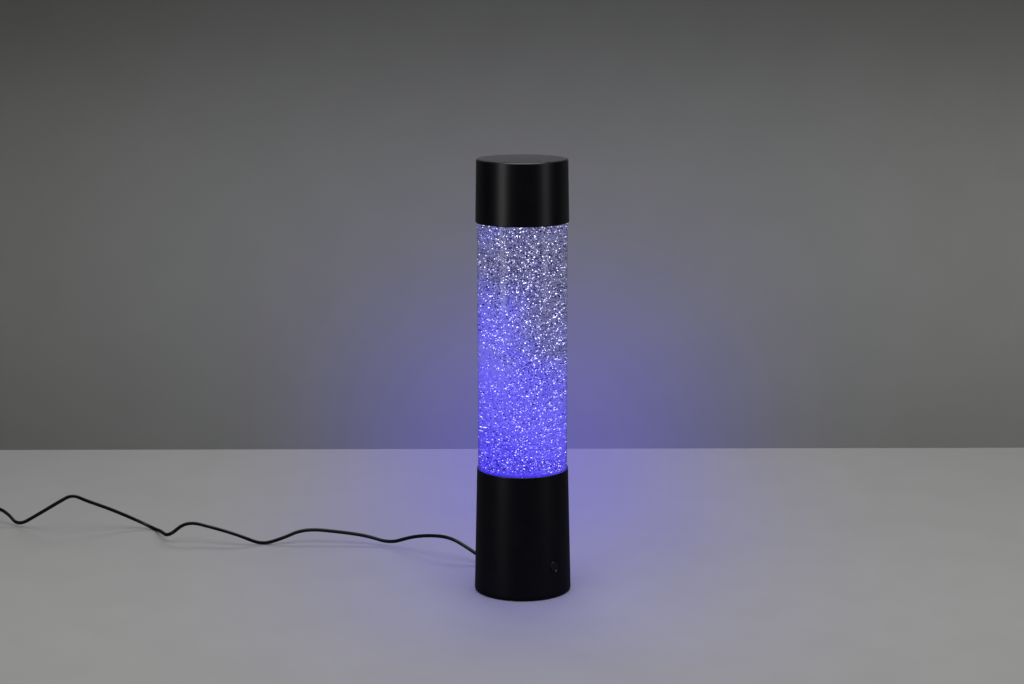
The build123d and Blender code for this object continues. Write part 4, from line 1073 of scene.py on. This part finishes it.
def painted_glow_share(tree, painted_glow_spreads):
    """How much painted blue glow a place gets: none under the foot, a painted shadow, and less along each
    axis.
    """
    place = add_node(tree, "TexCoord")
    reach = add_node(tree, "VectorMath", {"operation": "LENGTH"}, links={0: place.outputs["Object"]})
    # Painted shadow: no glow under the lamp's foot, with a soft edge round it
    past_foot = add_node(
        tree, "MapRange", values={"From Min": (foot - 1.6) * MM, "From Max": (foot + 1.4) * MM},
        links={"Value": reach.outputs["Value"]},
    )
    share = past_foot.outputs[0]
    for spread in painted_glow_spreads:
        share = graduate(tree, share, *spread)
    return share


def painted_mirror_dimming(tree, share):
    """The value 1, or this share where a gloss mirrors the paper, which paints the paper darker in
    reflections.
    """
    ray = add_node(tree, "LightPath")
    dim = add_node(
        tree, "MapRange", values={"To Min": 1.0, "To Max": share},
        links={"Value": ray.outputs["Is Glossy Ray"]},
    )
    return dim.outputs[0]


def paper(name, hex_colour, mirror_share, glow_peak, tint, painted_shades, painted_glow_spreads):
    """Matt paper with a faint cloudiness of its fibres, painted shade along axes, and a painted pool of
    blue glow.
    """
    material, tree, shader = start_material(name, {"Roughness": 0.9, "Specular IOR Level": 0.1})
    # The painted glow is too faint to be sampled as a lamp, which would also make the cap's top brighter.
    material.cycles.emission_sampling = "NONE"
    fibre = object_noise(tree, 60.0, detail=3.0)
    rgb = linear(hex_colour)
    slightly = tuple(c * 1.03 for c in rgb[:3]) + (1.0,)
    colour = ramp_through(tree, fibre, [(0.35, rgb), (0.65, slightly)])
    # Painted shade along each axis
    for shade in painted_shades:
        colour = graduate(tree, colour, *shade)
    # A painted pool of the tube's blue light
    share = painted_glow_share(tree, painted_glow_spreads)
    glow = add_node(tree, "VectorMath", {"operation": "MULTIPLY"}, {1: (0, 0, glow_peak)}, {0: share})
    tree.links.new(glow.outputs[0], shader.inputs["Emission Color"])
    tree.links.new(painted_mirror_dimming(tree, 0.15), shader.inputs["Emission Strength"])
    # Painted shade and light under the glow: the tint darkens the table's grey there and lightens the
    # backdrop's
    tinting = add_node(
        tree, "VectorMath", {"operation": "MULTIPLY_ADD"},
        {1: tuple(c - 1 for c in tint), 2: (1, 1, 1)}, {0: share},
    )
    tinted = add_node(
        tree, "VectorMath", {"operation": "MULTIPLY"}, links={0: colour, 1: tinting.outputs[0]}
    )
    # Painted darker where a gloss mirrors the paper
    shown = add_node(
        tree, "VectorMath", {"operation": "SCALE"},
        links={0: tinted.outputs[0], "Scale": painted_mirror_dimming(tree, mirror_share)},
    )
    tree.links.new(shown.outputs[0], shader.inputs["Base Color"])
    return material, tree, shader


# %% Table and backdrop
def paper_sheet(name, material, place, tilt=0):
    """A large sheet of the paper, marked as stage."""
    alone()
    bpy.ops.mesh.primitive_plane_add(size=6, location=place, rotation=(math.radians(tilt), 0, 0))
    bpy.ops.object.transform_apply()
    sheet = bpy.context.object
    sheet.name = name
    sheet.data.materials.append(material)
    return sheet


backdrop_y = 0.524
table_grey, tree, shader = paper(
    "table_grey", "#8C8C88", mirror_share=0.1, glow_peak=0.38, tint=(0.83, 0.76, 0.79),
    painted_shades=[("Y", -0.2, backdrop_y, (1.0, 0.99, 0.92, 0.87, 0.82, 0.78))],
    painted_glow_spreads=[
        ("X", -0.35, 0.4, (0, 0.08, 0.66, 1, 0.51, 0.04, 0)),
        ("Y", -0.3, backdrop_y, (0.05, 0.27, 0.28, 0.86, 0.95, 1)),
    ],
)
paper_sheet("table_top", table_grey, (0, 0, 0))

backdrop_grey, tree, shader = paper(
    "backdrop_grey", "#92938C", mirror_share=0.4, glow_peak=0.3, tint=(1.2, 1.1, 1.0),
    painted_shades=[
        ("Z", 0.0, 0.5, (0.82, 0.93, 0.98, 0.89, 0.66, 0.36)),
        ("X", -0.6, 0.6, (0.72, 0.94, 1.0, 1.0, 0.94)),
    ],
    painted_glow_spreads=[
        ("X", -0.4, 0.45, (0, 0, 0.54, 1, 0.47, 0, 0)),
        ("Z", 0.0, 0.4, (1, 0.88, 0.47, 0.11, 0, 0)),
    ],
)
side = add_node(tree, "NewGeometry")
clear = add_node(tree, "BsdfTransparent")
front_only = add_node(
    tree, "MixShader",
    links={0: side.outputs["Backfacing"], 1: shader.outputs[0], 2: clear.outputs[0]},
)
tree.links.new(front_only.outputs[0], tree.nodes["Material Output"].inputs["Surface"])
backdrop = paper_sheet("backdrop", backdrop_grey, (0, backdrop_y, 1.0), 90)
backdrop.visible_shadow = False
print("made", table_grey.name, "and", backdrop_grey.name)

# %% [markdown]
# ## Light
# A large softbox overhead lights table and backdrop, and a small one low on the right evens the
# paper. Two upright softboxes, front left and front right, draw the two soft upright bands on the
# black plastic. A strip behind the backdrop greys the cap's flat top. A blue lamp in the tube throws
# light round the foot. The room behind the camera is dark, and the world is pale only where it is
# seen past the papers or through the tube.


# %% Lamps
def lamp(name, kind, place, energy, colour):
    """A lamp of this kind at a place, which the camera doesn't see."""
    alone()
    bpy.ops.object.light_add(type=kind, location=place)
    light = bpy.context.object
    light.name = name
    light.data.energy = energy
    light.data.color = colour
    light.visible_camera = False
    return light


def softbox(name, place, aim, width, height, energy, colour="#FFFFFF"):
    """A rectangular lamp at a place, aimed at another."""
    light = lamp(name, "AREA", place, energy, linear(colour)[:3])
    light.data.shape = "RECTANGLE"
    light.data.size = width
    light.data.size_y = height
    light.rotation_euler = (Vector(aim) - Vector(place)).to_track_quat("-Z", "Y").to_euler()
    return light


def around(angle, reach, height):
    """A place round the lamp: the angle is from the front, positive to the viewer's right."""
    turn = math.radians(angle)
    return (reach * math.sin(turn), -reach * math.cos(turn), height)


softbox("overhead", (0.1, -0.5, 2.2), (0.05, -0.3, 0), 2.2, 2.2, 54)
softbox("front_left", around(-50, 1.6, 0.6), (0, 0, 0.3), 0.52, 1.2, 2.9)
softbox("front_right", around(59, 1.6, 0.6), (0, 0, 0.3), 0.52, 1.2, 1.45)
paper_light = softbox("paper_light", (1.1, 0.1, 0.3), (0.45, backdrop_y, 0.12), 0.5, 0.3, 0.7)
paper_light.visible_glossy = False
softbox("cap_light", (0, 1.0, 0.72), (0, 0, 0.37), 1.0, 0.3, 7.0, "#F6F2FF")

# %% Blue light round the foot
foot_glow = lamp("glow_round_foot", "POINT", (0, 0, 0.14), 1.0, (0.02, 0.01, 1.0))
foot_glow.data.shadow_soft_size = 0.075
foot_glow.visible_glossy = False
foot_glow.visible_transmission = False

# %% World
world = bpy.data.worlds.new("studio")
bpy.context.scene.world = world
world.use_nodes = True
tree = world.node_tree
ray = add_node(tree, "LightPath")
seen = add_node(
    tree, "Math", {"operation": "MAXIMUM"},
    links={0: ray.outputs["Is Camera Ray"], 1: ray.outputs["Is Transmission Ray"]},
)
room_strength, seen_strength = 0.04, 0.5
pale = add_node(
    tree, "MapRange", values={"To Min": room_strength, "To Max": seen_strength},
    links={"Value": seen.outputs[0]},
)
background = tree.nodes["Background"]
background.inputs["Color"].default_value = linear("#7A7C7C")
tree.links.new(pale.outputs[0], background.inputs["Strength"])
bpy.context.scene.view_settings.view_transform = "Standard"
print("made", world.name)
